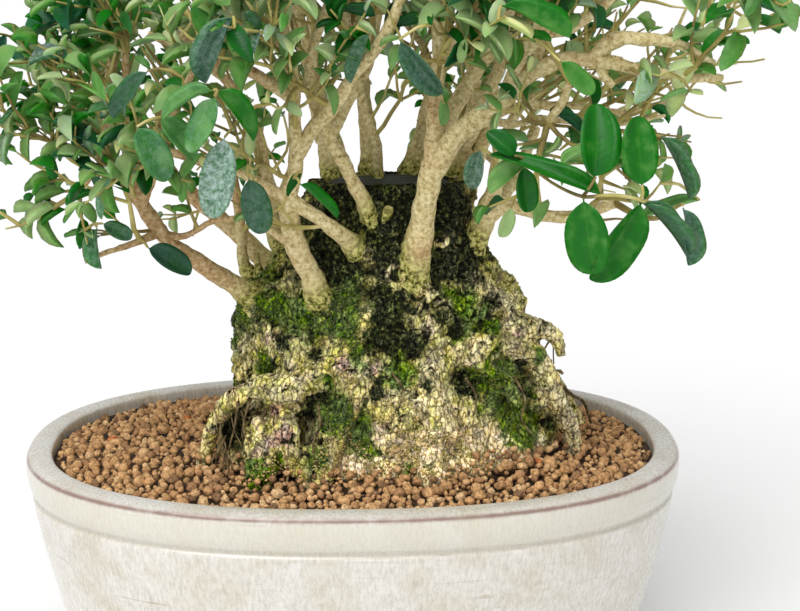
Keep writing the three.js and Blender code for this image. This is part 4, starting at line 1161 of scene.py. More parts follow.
def bark_relief(place, tall):
    """How far old bark stands out at a place, in millimetres, and how deep in a crack it lies."""
    warped = place + noise.noise_vector(place / 8) * 3.5
    lumps = noise.fractal(place / 21, 1.0, 2.0, 2) * 2.2
    grain = Vector((warped.x / 5.2, warped.y / 5.2, warped.z / tall))
    distances, _ = noise.voronoi(grain)
    crack = max(0.0, 1 - (distances[1] - distances[0]) / 0.24)
    furrow = max(0.0, 1 - abs(noise.noise(grain * 0.45)) / 0.08)
    crumbs = noise.noise(warped / 4.2) * 1.1 + noise.noise(place / 2.1) * 1.1
    return lumps, crumbs - 1.1 * crack - 2.4 * furrow + 0.5, max(crack * 0.6, furrow, -crumbs * 0.8)


def root_nearness(places):
    """1 on the bare roots, falling to nothing beyond their skin."""
    near = np.zeros(len(places))
    for points in ROOTS[:1] + ROOTS[4:7] + FINGER_ROOTS:
        for x, y, z, radius in even_path(points, 3, gnarl=2, swell=0.12):
            gaps = np.linalg.norm(places - np.array((x, y, z)), axis=1)
            near = np.maximum(near, np.clip(3.2 - 2.2 * gaps / radius, 0, 1))
    return near


def carve_stump(mesh, depth):
    """Moves the skin of the stump into bark, hollows and scars, notes what grows where, and paints
    shade into its cracks, hollows and scar pits.
    """
    places = read(mesh.vertices, "co", 3)
    normals = read(mesh.vertices, "normal", 3)
    xs, _, zs = places.T
    upper = np.clip((zs - 216) / 16, 0, 1)
    lumps, relief, crevice_shade, cover = np.empty((4, len(places)))
    for number, place in enumerate(places):
        spot = Vector(place)
        lumps[number], relief[number], crevice_shade[number] = bark_relief(spot, 7 + 8 * upper[number])
        cover[number] = noise.fractal(spot / 9, 1.0, 2.0, 4)
    roots = root_nearness(places)
    mound = np.clip(sum(nearness(places, centre, reach) for centre, reach in MOUND) * 1.4, 0, 1)
    mound *= np.clip((158 - zs) / 14, 0, 1)
    flat_top = np.clip((zs - (TRUNK_TOP - 3)) / 3, 0, 1)
    buried = np.clip((116 - zs) / 8, 0, 1)
    calm = (1 - 0.75 * mound) * (1 - 0.55 * roots)
    offset = (lumps * (1 - roots) + relief * calm) * depth * (1 - 0.7 * flat_top) * (1 - buried)
    # Each hollow sinks the skin and is filled with painted shade.
    for centre, reach, sink in HOLLOWS:
        near = nearness(places, centre, reach) * (1 - roots)
        offset -= sink * near
        crevice_shade = np.maximum(crevice_shade, near)
    rings, pits = np.zeros((2, len(places)))
    for centre, ring, open_share in SCARS:
        distances = np.linalg.norm((places - np.array(centre)) * (1, 0.5, 1), axis=1)
        offset *= 1 - 0.85 * np.clip(2.4 - distances / ring, 0, 1)
        rings = np.maximum(rings, np.exp(-((distances - ring) / 1.9) ** 2))
        pits = np.maximum(pits, open_share * np.exp(-(distances / (ring * 0.6)) ** 4))
    offset += 1.5 * rings - pits
    mesh.vertices.foreach_set("co", (places + normals * offset[:, None]).ravel())
    mesh.update()
    moss, pale, pink, dark = (
        sum(nearness(places, spot[:3], spot[3] * spread) for spot in spots)
        for spots, spread in ((MOSSY, 1.95), (PALE, 1.25), (PINK, 1.2), (DARK, 1.6)))
    upward = np.clip(normals[:, 2], 0, 1)
    above = upper * (np.abs(xs - STUMP_MIDDLE_X) < 62)
    # Roots on the right-hand side are paler, with less dark in their cracks; on the left a little less
    # pale.
    right_hand_pale = np.where(xs < 0, -0.15, 0.7)
    feet = np.clip(sum(nearness(places, points[0][:3], 14) for points in BRANCHES.values()), 0, 1)
    dark = (dark * 0.85 + above * 0.34) * (1 - 0.6 * roots) * (1 - 0.75 * rings) * (1 - 0.8 * feet)
    # Painted shade in the cracks, weaker on the paler right-hand roots, in the crumb mound and on scar
    # rings.
    crevice_shade = crevice_shade * (0.8 - 0.5 * roots * np.clip(right_hand_pale, 0, 1))
    crevice_shade = crevice_shade * (1 - 0.7 * mound) * (1 - 0.6 * rings)
    for name, shares in {
        "moss": moss + upward * 0.2 + cover * 0.45 - 0.1 - roots * 0.35 - rings,
        "pale": pale * 0.9 + cover * 0.3 + roots * right_hand_pale - 0.1 + rings * 0.1 + feet * 0.35,
        "pink": pink * 0.9 + cover * 0.4 - 0.1,
        "mound": mound,
        "dark": dark - cover * 0.45,
        # The pits of the scars get painted shade too.
        "crevice_shade": np.maximum(crevice_shade, 0.8 * pits),
    }.items():
        set_attribute(mesh, name, np.clip(shares, 0, 1))


# ---------------------------------------------------------------- limbs of the crown

def crown_directions():
    """Directions spread evenly over the crown, without those low on the open front."""
    directions = []
    for number in range(CROWN_TIPS):
        up = CROWN_TOP_UP - number / CROWN_TIPS * (CROWN_TOP_UP - CROWN_RIM_UP)
        flat = math.sqrt(1 - up * up)
        turn = number * GOLDEN_ANGLE + 0.6
        direction = Vector((flat * math.cos(turn), flat * math.sin(turn), up))
        open_front = direction.y < -0.45 and abs(direction.x) < 0.5 and direction.z < 0.42
        if not open_front:
            directions.append(direction)
    return directions


def crown_limbs():
    """Limbs from the ends of the branches to the shoots: each a path, and its heading at the tip."""
    starts = []
    for name, points in BRANCHES.items():
        if name == "front_main":
            continue
        places = np.array(points, float)[:, :3]
        for share in LIMB_STARTS:
            ahead = curve_at(places, share + 0.0001) - curve_at(places, share - 0.0001)
            starts.append({
                "place": Vector(curve_at(places, share)),
                "heading": Vector(ahead).normalized(),
                "radius": points[-1][3] * (1.25 - 0.3 * share),
                "uses": 0,
            })
    limbs = []
    for direction in crown_directions():
        target = direction * CROWN_REACH + CROWN_CENTRE

        def cost(start):
            way = target - start["place"]
            turned_away = 1 - start["heading"].dot(way.normalized())
            return way.length * (1 + 0.35 * turned_away) + LIMB_CROWDING * start["uses"]

        start = min(starts, key=cost)
        start["uses"] += 1
        foot = start["place"]
        reach = (target - foot).length
        bend = (foot + start["heading"] * reach * 0.4).lerp(foot.lerp(target, 0.5), 0.35)
        radius = min(start["radius"], LIMB_TIP_RADIUS * (1 + reach / 120))
        path = []
        for share in (0, 0.35, 0.7, 1):
            place = foot * (1 - share) ** 2 + bend * 2 * share * (1 - share) + target * share ** 2
            path.append((*place, radius + (LIMB_TIP_RADIUS - radius) * share))
        limbs.append((path, (target - bend).normalized()))
    return limbs


# ---------------------------------------------------------------- leaves and shoots

def leaf_template(fold, droop, twist, across=2, rows=(0, 0.07, 0.18, 0.42, 0.7, 0.88, 0.97, 1)):
    """A leaf one unit long along +Y, its upper face towards +Z: two skins that meet at the edge."""
    bm = bmesh.new()
    uv = bm.loops.layers.uv.verify()
    bmesh.ops.create_grid(bm, x_segments=across, y_segments=len(rows) - 1, size=0.5)
    last = len(rows) - 1
    flat = {vert: (2 * vert.co.x, rows[round((vert.co.y + 0.5) * last)]) for vert in bm.verts}
    for face in bm.faces:
        for loop in face.loops:
            side, along = flat[loop.vert]
            loop[uv].uv = (0.5 + side / 2, along)
    for vert, (side, along) in flat.items():
        blade = min(max((along - 0.06) / 0.94, 0), 1)
        breadth = 0.5 * (1 - abs(2 * blade - 1) ** 2.2) ** 0.52 + 0.02
        x = side * breadth
        z = fold * abs(side) ** 1.4 * breadth - droop * along ** 2
        z += 0.015 * math.sin(9 * along) * abs(side)
        turn = twist * along
        vert.co = (x * math.cos(turn) - z * math.sin(turn) * 0.5, along, z + x * math.sin(turn))
    skins = bmesh.ops.duplicate(bm, geom=bm.verts[:] + bm.edges[:] + bm.faces[:])
    under = [item for item in skins["geom"] if isinstance(item, bmesh.types.BMFace)]
    bmesh.ops.reverse_faces(bm, faces=under)
    inner = {vert for face in under for vert in face.verts if not vert.is_boundary}
    bmesh.ops.translate(bm, verts=list(inner), vec=(0, 0, -0.018))
    for face in under:
        face.material_index = 1
    bmesh.ops.remove_doubles(bm, verts=bm.verts, dist=0.0005)
    return to_mesh("leaf", bm)


def leaf_matrix(foot, along, facing, length, width):
    """Places the leaf template from its foot, along its midrib, with its face turned one way."""
    along = along.normalized()
    normal = facing - along * facing.dot(along)
    if normal.length < 0.01:
        normal = along.orthogonal()
    normal.normalize()
    side = along.cross(normal)
    matrix = Matrix((side * length * width, along * length, normal * length)).transposed().to_4x4()
    matrix.translation = foot
    return matrix


class Growth:
    """What one part of the crown has grown: its twigs, and its leaves with their looks."""

    def __init__(self):
        self.twigs = []
        self.leaves = []

    def add_leaf(self, rng, matrix, tint):
        film = rng.random() ** 2 if rng.random() < 0.16 else 0
        self.leaves.append((rng.randrange(5), matrix, min(max(tint, 0), 1), film))


def leaf_chance(place):
    """How likely a leaf is at a place: few inside and low on the front, where the branches show."""
    for from_x, to_x, to_y, to_z, chance in BARE_PLACES:
        if from_x < place.x < to_x and place.y < to_y and place.z < to_z:
            return chance
    shell = ((place - CROWN_CENTRE) * Vector([1 / reach for reach in CROWN_REACH])).length
    outer = min(1, max(0, (shell - 0.75) / 0.35))
    top = min(1, max(0, (place.z - 370) / 60))
    return 0.26 + 0.62 * max(outer * (0.5 + 0.5 * top), top * 0.8)


def within_crown(place):
    low, high = (corner / MM for corner in CAD_BOX)
    inside = all(a - CROWN_MARGIN < at < b + CROWN_MARGIN for a, at, b in zip(low, place, high))
    return inside and place.z > CROWN_FLOOR


def grow_shoot(growth, rng, foot, heading, length, radius, order, settings, bare=0.0, wander=0.26):
    """A shoot that bends towards the light, with opposite leaves and, if it is strong, side shoots."""
    count = max(2, round(length / (settings.internode / MM)))
    place = Vector(foot)
    direction = Vector(heading).normalized()
    side = Quaternion(direction, rng.uniform(0, FULL_TURN)) @ direction.orthogonal().normalized()
    path = [(*place, radius)]
    leaf_length = settings.leaf_length / MM
    vigour = rng.uniform(0.8, 1.12)
    inner = min(1, max(0, 1.3 - ((place - CROWN_CENTRE).length / 150)))
    tone = rng.uniform(0, 0.2) if rng.random() < 0.2 else rng.uniform(0.3, 0.66)
    # Painted light: leaves further back get paler tints, as they look from the front.
    tone += 0.12 * inner + 0.2 * min(1, max(0, place.y / 90))
    size_here = leaf_length * vigour * (1 - 0.35 * inner)
    for number in range(1, count + 1):
        share = number / count
        outward = (place - CROWN_CENTRE).normalized()
        direction = (direction + outward * 0.1 + UP * 0.08 + jitter(rng) * wander).normalized()
        place = place + direction * (length / count)
        path.append((*place, radius + (0.5 - radius) * share))
        if not within_crown(place):
            break
        side = Quaternion(direction, math.pi / 2 + rng.uniform(-0.35, 0.35)) @ side
        side = (side - direction * side.dot(direction)).normalized()
        for hand in (-1, 1):
            forks = order > 0 and number < count and rng.random() < settings.side_shoots
            if forks:
                away = direction * 0.75 + side * hand
                grow_shoot(growth, rng, place, away, length * rng.uniform(0.38, 0.62), radius * 0.62,
                           order - 1, settings, max(0, bare - 0.3))
                continue
            in_front = place.y < CROWN_FRONT
            if share < bare and not in_front:
                continue
            if rng.random() > (0.5 if in_front else leaf_chance(place)):
                continue
            splay = rng.uniform(0.55, 1.15) if number < count else rng.uniform(0.25, 0.6)
            along = direction * math.cos(splay) + side * hand * math.sin(splay)
            along = along + jitter(rng, 0.2) - UP * rng.uniform(0, 0.3)
            facing = direction * 0.7 + UP * 0.75 + outward * 0.3 + jitter(rng, 0.5)
            size = size_here * rng.uniform(0.62, 1.15) * (0.8 if number == count else 1)
            if not within_crown(place + along.normalized() * size):
                continue
            tint = tone + rng.uniform(-0.12, 0.12) + (0.25 if share > 0.8 and order == 0 else 0)
            growth.add_leaf(rng, leaf_matrix(place, along, facing, size, rng.uniform(0.36, 0.52)), tint)
    growth.twigs.append(path)


def spray_growth(rng, path, heading, settings):
    """The leafy end of a limb."""
    growth = Growth()
    tip = Vector(path[-1][:3])
    outward = (tip - CROWN_CENTRE).normalized()
    lean = (heading + outward * 0.4 + UP * 0.1).normalized()
    length = SHOOT_LENGTH * rng.uniform(0.86, 0.98)
    grow_shoot(growth, rng, tip, lean, length, LIMB_TIP_RADIUS, 1, settings)
    around = lean.orthogonal().normalized()
    for _ in range(3):
        around = Quaternion(lean, FULL_TURN / 3 + rng.uniform(-0.4, 0.4)) @ around
        length = SHOOT_LENGTH * rng.uniform(0.5, 0.8)
        grow_shoot(growth, rng, tip, lean * 0.55 + around, length, 1.4, 1, settings)
    return growth


def inner_growth(rng, path, first_share, gap, settings):
    """Short side shoots along a limb or branch."""
    growth = Growth()
    stations = even_path(path, gap)
    for number in range(1, len(stations) - 1):
        share = number / (len(stations) - 1)
        if share < first_share:
            continue
        place = Vector(stations[number][:3])
        if place.y < -50 and rng.random() < 0.45:
            continue
        ahead = (Vector(stations[number + 1][:3]) - place).normalized()
        turn = Quaternion(ahead, rng.uniform(0, FULL_TURN))
        outward = (place - CROWN_CENTRE).normalized()
        heading = ahead * 0.4 + turn @ ahead.orthogonal().normalized() + outward * 0.5 + UP * 0.3
        if rng.random() < 0.4:
            length, order = rng.uniform(26, 50), rng.choice((0, 0, 1))
            grow_shoot(growth, rng, place, heading, length, 1.2, order, settings)
        else:
            length, radius = rng.uniform(50, 105), rng.uniform(1.2, 2)
            grow_shoot(growth, rng, place, heading, length, radius, 1, settings, bare=0.62, wander=0.36)
    return growth


def front_growth(rng, wood):
    """The large leaves that hang in front of the crown, each on a twig from the nearest wood."""
    growth = Growth()
    growth.twigs.extend(even_path(points, 5, gnarl=1) for points in FRONT_TWIGS)
    near_wood = np.array(wood + [point[:3] for twig in growth.twigs for point in twig])
    for foot, tip, width, facing, tint, film in FRONT_LEAVES:
        foot, tip, facing = Vector(foot), Vector(tip), Vector(facing)
        along = tip - foot
        matrix = leaf_matrix(foot, along, facing, along.length, width)
        growth.leaves.append((rng.randrange(5), matrix, tint, film))
        gaps = np.linalg.norm(near_wood - np.array(foot), axis=1)
        if gaps.min() < 2:
            continue
        start = Vector(near_wood[gaps.argmin()])
        middle = start.lerp(foot, 0.5) + UP * (start - foot).length * 0.12
        twig = even_path([(*start, 1.1), (*middle, 0.9), (*foot, 0.6)], 6, gnarl=1.5)
        growth.twigs.append(twig)
        near_wood = np.vstack([near_wood, [point[:3] for point in twig]])
    return growth


def leaves_mesh(name, leaves, templates):
    """One mesh of many leaves, each from one of the templates."""
    meshes = []
    for kind, template in enumerate(templates):
        chosen = [leaf for leaf in leaves if leaf[0] == kind]
        if chosen:
            _, matrices, tints, films = zip(*chosen)
            meshes.append(copies(name, template, matrices, tint=tints, film=films))
    return joined(name, meshes)


# ---------------------------------------------------------------- soil and moss

def soil_height(x, y):
    """Height of the soil at a place, and its share of the way to the pot's wall."""
    share = (abs(x) / SOIL_HALF_LENGTH) ** POT_OVAL_POWER + (abs(y) / SOIL_HALF_WIDTH) ** POT_OVAL_POWER
    share = share ** (1 / POT_OVAL_POWER)
    bank = 6 * math.exp(-((x - 80) / 32) ** 2 - ((y + 60) / 13) ** 2)
    return float(np.interp(share, SOIL_SHARES, SOIL_HEIGHTS)) + bank, share


def granule_template(rng, cuts):
    """A rough granule about one unit in radius, rubbed flat in places."""
    bm = bmesh.new()
    if cuts:
        bmesh.ops.create_cube(bm, size=2)
        bmesh.ops.subdivide_edges(bm, edges=bm.edges[:], cuts=cuts, use_grid_fill=True)
    else:
        bmesh.ops.create_icosphere(bm, subdivisions=1, radius=1)
    for vert in bm.verts:
        vert.co = vert.co.normalized() * rng.uniform(0.84, 1.14) + vert.co * (0.08 if cuts else 0)
        vert.co.z *= 0.88
    for _ in range(6):
        axis = jitter(rng).normalized()
        limit = rng.uniform(0.62, 0.84)
        for vert in bm.verts:
            vert.co -= axis * max(0, vert.co.dot(axis) - limit)
    return to_mesh("granule", bm)


def scattered_spots(rng, tries, size, sizes, crowding, surface):
    """Spots on the soil that keep a granule's distance from each other: x, y, z, radius."""
    cell = 10
    grid = {}
    spots = []
    for _ in range(tries):
        x = rng.uniform(-SOIL_HALF_LENGTH, SOIL_HALF_LENGTH)
        y = rng.uniform(-SOIL_HALF_WIDTH, SOIL_HALF_WIDTH)
        radius = size * rng.choice(sizes)
        height, share = soil_height(x, y)
        if share > 1 - radius / 160:
            continue
        key = (int(x // cell), int(y // cell))
        cells = [(key[0] + i, key[1] + j) for i in (-1, 0, 1) for j in (-1, 0, 1)]
        near = [spot for cell_key in cells for spot in grid.get(cell_key, ())]
        if any((x - a) ** 2 + (y - b) ** 2 < (crowding * (radius + c)) ** 2 for a, b, c in near):
            continue
        grid.setdefault(key, []).append((x, y, radius))
        top = Vector((x, y, height + radius))
        nearest, normal, _, gap = surface.find_nearest(top)
        inside = (top - nearest).dot(normal) < 0
        if inside and gap > 0.6 * radius:
            continue
        rise = 5 if inside else 5 * math.exp(-gap / 7)
        spots.append((x, y, height + rise, radius * (0.65 + 0.35 * min(1, gap / 12))))
    return spots


def granules_mesh(name, rng, spots, sink, cuts=1, tone=0.95):
    """Granules on their spots, each turned, stretched and toned at random, with paler tints towards the
    front as painted light.
    """
    templates = [granule_template(rng, cuts) for _ in range(7)]
    groups = [([], []) for _ in templates]
    for x, y, z, radius in spots:
        stretch = Matrix.Diagonal([radius * rng.uniform(0.78, 1.18) for _ in range(3)])
        turn = Quaternion(jitter(rng), rng.uniform(0, FULL_TURN)).to_matrix()
        matrix = (turn @ stretch).to_4x4()
        matrix.translation = (x, y, z + radius * rng.uniform(0, 0.6) - sink)
        matrices, tints = groups[rng.randrange(len(groups))]
        matrices.append(matrix)
        # Painted light: granules towards the front of the pot get paler tints.
        light = 1 + max(0, -(y + 84) / 55)
        tints.append(
            min(0.9, rng.betavariate(1.7, 1.9) * tone * light) if rng.random() > 0.003 else 1.0)
    return joined(name, [copies(name, template, matrices, tint=tints)
                         for template, (matrices, tints) in zip(templates, groups) if matrices])


def tuft_template(rng, blades):
    """A tuft of short moss blades, each a slim pyramid."""
    bm = bmesh.new()
    for number in range(blades):
        lean = Matrix.Rotation(rng.uniform(0.2, 0.9), 4, "X")
        turn = Matrix.Rotation(number / blades * FULL_TURN + rng.uniform(-0.4, 0.4), 4, "Z")
        height = rng.uniform(0.6, 1.1)
        stand = Matrix.Translation((0, 0, height / 2 - 0.1))
        bmesh.ops.create_cone(bm, cap_ends=True, segments=3, radius1=0.26, radius2=0, depth=height,
                              matrix=turn @ lean @ stand)
    return to_mesh("tuft", bm)


def tufts_mesh(name, rng, faces, count, size, tone):
    """Tufts on faces of the stump picked at random, each standing on its face."""
    templates = [tuft_template(rng, 4) for _ in range(4)]
    groups = [([], []) for _ in templates]
    for place, normal in rng.choices(faces, k=count):
        stand = (Vector(normal) + UP * 0.3).normalized()
        turn = Matrix.Rotation(rng.uniform(0, FULL_TURN), 3, "Z")
        turn = stand.to_track_quat("Z", "Y").to_matrix() @ turn
        matrix = (turn * (size * rng.uniform(0.6, 1.3))).to_4x4()
        matrix.translation = Vector(place) + jitter(rng, 0.8) - Vector(normal) * 0.3
        matrices, tints = groups[rng.randrange(len(groups))]
        matrices.append(matrix)
        tints.append(min(max(rng.gauss(tone, 0.28), 0), 1))
    return joined(name, [copies(name, template, matrices, tint=tints)
                         for template, (matrices, tints) in zip(templates, groups)])


def stump_faces():
    """Middle, normal and mossiness of each face of the stump, in millimetres."""
    mesh = bpy.data.objects["stump_wood"].data
    moss = read(mesh.attributes["moss"].data, "value")
    firsts = np.array([face.vertices[0] for face in mesh.polygons])
    return read(mesh.polygons, "center", 3) / MM, read(mesh.polygons, "normal", 3), moss[firsts]


# ---------------------------------------------------------------- settings

class BonsaiPotSettings(bpy.types.PropertyGroup):
    finger_lines: FloatProperty(
        name="Finger lines", description="Depth of the lines that throwing left in the wall",
        default=0.00032, unit="LENGTH", precision=5)
    edge_colour: FloatVectorProperty(
        name="Rim edge", description="Colour where the glaze runs thin on the rim",
        default=linear("#8f776c")[:3], subtype="COLOR")


class BonsaiWoodSettings(bpy.types.PropertyGroup):
    voxel: FloatProperty(
        name="Skin grain", description="Size of the finest step in the stump's surface",
        default=0.00155, unit="LENGTH", precision=5)
    bark_depth: FloatProperty(
        name="Bark depth",
        description="How deep the bark's plates and fissures are, 1 being an old tree", default=1.0)
    seed: IntProperty(name="Seed", description="Picks another set of ridges", default=4)


class BonsaiMossSettings(bpy.types.PropertyGroup):
    height: FloatProperty(
        name="Moss height", description="Height of a tuft", default=0.0013, unit="LENGTH", precision=5)
    cover: IntProperty(name="Thin moss", description="Tufts scattered over the bark", default=3000)
    seed: IntProperty(name="Seed", description="Picks other places for the tufts", default=11)


class BonsaiSoilSettings(bpy.types.PropertyGroup):
    granule: FloatProperty(
        name="Granule", description="Mean radius of a soil granule",
        default=0.0023, unit="LENGTH", precision=5)
    seed: IntProperty(name="Seed", description="Picks another scatter of granules", default=7)


class BonsaiCrownSettings(bpy.types.PropertyGroup):
    leaf_length: FloatProperty(
        name="Leaf length", description="Length of a full-grown leaf", default=0.020, unit="LENGTH")
    internode: FloatProperty(
        name="Internode", description="Twig between two pairs of leaves", default=0.0088, unit="LENGTH",
        precision=5)
    side_shoots: FloatProperty(
        name="Side shoots", description="Share of the buds on a strong shoot that fork", default=0.3,
        subtype="FACTOR", min=0, max=1)
    seed: IntProperty(name="Seed", description="Picks another set of leaves", default=21)


class BonsaiStageSettings(bpy.types.PropertyGroup):
    floor_colour: FloatVectorProperty(
        name="Floor", description="Colour of the floor", default=linear("#f9f9f9")[:3], subtype="COLOR")
    key_power: FloatProperty(
        name="Key light", description="Power of the soft light that gives the gloss",
        default=4, unit="POWER")
    window: FloatProperty(
        name="Window", description="Strength of the broad light from above", default=2.0)
    sky: FloatProperty(name="Sky", description="Strength of the white surroundings", default=0.58)


# ---------------------------------------------------------------- operators

class BONSAI_OT_pot(bpy.types.Operator):
    """The oval glazed pot"""
    bl_idname = "bonsai.pot"
    bl_label = "Pot"

    def execute(self, context):
        settings = context.scene.bonsai_pot
        glaze = stoneware_glaze(settings.edge_colour)
        add_piece("glazed_pot", pot_mesh(settings), [glaze], ["pot"])
        return {"FINISHED"}


class BONSAI_OT_stump(bpy.types.Operator):
    """The stump with its roots, burls and bark"""
    bl_idname = "bonsai.stump"
    bl_label = "Stump"

    def execute(self, context):
        settings = context.scene.bonsai_wood
        mesh = stump_blank(settings.voxel / MM, random.Random(settings.seed))
        carve_stump(mesh, settings.bark_depth)
        add_piece("stump_wood", mesh, [stump_bark()], ["trunk"])
        return {"FINISHED"}


class BONSAI_OT_branches(bpy.types.Operator):
    """The branches, limbs and hanging rootlets"""
    bl_idname = "bonsai.branches"
    bl_label = "Branches"

    def execute(self, context):
        settings = context.scene.bonsai_wood
        surface = stump_surface()
        branches = [even_path(points, 2.2, gnarl=1.6, swell=0.16) for points in BRANCHES.values()]
        slight = [even_path(points, 3, gnarl=1.6, swell=0.14) for points in SLIGHT_BRANCHES]
        limbs = [even_path(path, 4, gnarl=2.5, swell=0.14) for path, _ in crown_limbs()]
        stubs = [even_path(points, 2, swell=0.15) for points in STUBS]
        rng = random.Random(settings.seed)
        rootlets = [even_path(points, 3, gnarl=1.5) for points in ROOTLETS]
        for _ in range(22):
            x, y, z = rng.uniform(-80, -34), rng.uniform(-70, -58), rng.uniform(138, 162)
            path = []
            for drop in range(5):
                path.append((x, y, z, 0.45 - 0.06 * drop))
                x, y, z = x + rng.uniform(-4, 4), y + rng.uniform(-1.5, 1), z - rng.uniform(4, 9)
            rootlets.append(even_path(path, 3))
        cut_ends = [points[-1][:3] for points in STUBS]
        bark = branch_bark()
        for name, paths, roundness, finish in (
            ("branch_wood", branches + stubs, 4, bark), ("slight_wood", slight, 3, bark),
            ("limb_wood", limbs, 2, bark), ("rootlets", rootlets, 1, root_fibre()),
        ):
            mesh = tubes(paths, roundness)
            places = read(mesh.vertices, "co", 3)
            spots = [Vector(place) for place in places]
            gaps = np.array([surface.find_nearest(spot)[3] for spot in spots])
            if name != "rootlets":
                rough = np.array([
                    noise.noise(spot / 4) * 0.4 + noise.noise(spot / 1.7) * 0.2 for spot in spots])
                cut = sum(nearness(places, end, 12) for end in cut_ends)
                flare = 1.9 * np.exp(-(gaps / 8) ** 2) * np.clip(1 - 1.5 * cut, 0, 1)
                flare *= name == "branch_wood"
                offset = rough * (1 + flare) + flare
                places = places + read(mesh.vertices, "normal", 3) * offset[:, None]
                mesh.vertices.foreach_set("co", places.ravel())
            set_attribute(mesh, "foot", np.exp(-gaps / 14))
            add_piece(name, mesh, [finish])
        return {"FINISHED"}


class BONSAI_OT_cut(bpy.types.Operator):
    """The sealing paste on the saw cut"""
    bl_idname = "bonsai.cut"
    bl_label = "Sealed cut"

    def execute(self, context):
        (middle_x, middle_y), (reach_x, reach_y) = PASTE_CENTRE, PASTE_RADII
        bm = spun(PASTE_SECTION, 72)
        for vert in bm.verts:
            angle = math.atan2(vert.co.y, vert.co.x)
            wave = 1 + 0.04 * noise.noise(Vector((math.cos(angle), math.sin(angle), 0)) * 2.2)
            lift = 0.35 * noise.noise(vert.co * 3.2)
            x, y, z = vert.co
            vert.co = (middle_x + x * reach_x * wave, middle_y + y * reach_y * wave,
                       TRUNK_TOP + z + lift)
        add_piece("sealed_cut", to_mesh("cut", bm), [sealing_paste()], ["cut_paste"])
        return {"FINISHED"}


class BONSAI_OT_moss(bpy.types.Operator):
    """Pads and thin growths of moss on the stump"""
    bl_idname = "bonsai.moss"
    bl_label = "Moss"

    def execute(self, context):
        settings = context.scene.bonsai_moss
        rng = random.Random(settings.seed)
        velvet = moss_velvet()
        centres, normals, moss = stump_faces()
        above = centres[:, 2] > SOIL_LINE
        height = settings.height / MM
        for number, (node, (centre, radii)) in enumerate(MOSS_PADS.items()):
            reach = (((centres - np.array(centre)) / np.array(radii)) ** 2).sum(axis=1)
            chosen = (reach < 1) & above & (moss > 0.35)
            faces = list(zip(centres[chosen], normals[chosen]))
            mesh = tufts_mesh(node, rng, faces, PAD_TUFTS, height, 0.3 + 0.08 * number)
            add_piece(node.replace("moss", "moss_tufts"), mesh, [velvet], [node])
        chosen = (moss > 0.45) & above & (centres[:, 2] < 250)
        faces = list(zip(centres[chosen], normals[chosen]))
        mesh = tufts_mesh("thin_moss", rng, faces, settings.cover, height * 0.8, 0.66)
        add_piece("thin_moss", mesh, [velvet])
        return {"FINISHED"}


class BONSAI_OT_soil(bpy.types.Operator):
    """Loose akadama granules over the packed soil"""
    bl_idname = "bonsai.soil"
    bl_label = "Soil"

    def execute(self, context):
        settings = context.scene.bonsai_soil
        rng = random.Random(settings.seed)
        surface = stump_surface()
        size = settings.granule / MM
        clay = akadama_clay("akadama granules", CLAY_TINTS)
        under = scattered_spots(rng, 8000, size, UNDER_SIZES, 0.9, surface)
        # The lower layer gets darker tints: painted shade in the gaps between the loose granules.
        mesh = granules_mesh("granules", rng, under, 3.8, cuts=0, tone=0.45)
        add_piece("granules_under", mesh, [clay])
        over = scattered_spots(rng, 26000, size, GRANULE_SIZES, 0.76, surface)
        for name, side in (("granules_front", -1), ("granules_back", 1)):
            half = [spot for spot in over if spot[1] * side >= 0]
            add_piece(name, granules_mesh(name, rng, half, 0.4), [clay])
        centres, normals, _ = stump_faces()
        crumby = sum(nearness(centres, place, reach) for place, reach in CRUMBY)
        chosen = np.flatnonzero((crumby > 0.3) & (centres[:, 2] > SOIL_LINE))
        crumbs = []
        for i in rng.choices(list(chosen), k=CRUMB_COUNT):
            x, y, z = centres[i] + normals[i] * 0.3
            crumbs.append((x + rng.uniform(-1, 1), y + rng.uniform(-1, 1), z, rng.uniform(0.45, 0.95)))
        pale = akadama_clay("akadama crumbs", CRUMB_TINTS)
        mesh = granules_mesh("crumbs", rng, crumbs, 0.3, cuts=0)
        add_piece("granule_crumbs", mesh, [pale])
        # Near-black bed under the loose granules: painted shade in their gaps.
        bed = granular_bed("akadama bed in painted shade", 4.4, "#1c140d", "#4a3623")
        set_finish(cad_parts["akadama_soil"].data, bed)
        return {"FINISHED"}


class BONSAI_OT_drainage(bpy.types.Operator):
    """Finishes of the drainage layer, the drain meshes and their clips"""
    bl_idname = "bonsai.drainage"
    bl_label = "Drainage"

    def execute(self, context):
        finishes = {
            "drainage_layer": granular_bed("coarse pumice", 8, "#8f8675", "#d4cbb9"),
            "drain_mesh": moulded_mesh_plastic(),
            "mesh_clip": annealed_wire(),
        }
        for name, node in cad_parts.items():
            for start, finish in finishes.items():
                if name.startswith(start):
                    set_finish(node.data, finish)
        return {"FINISHED"}


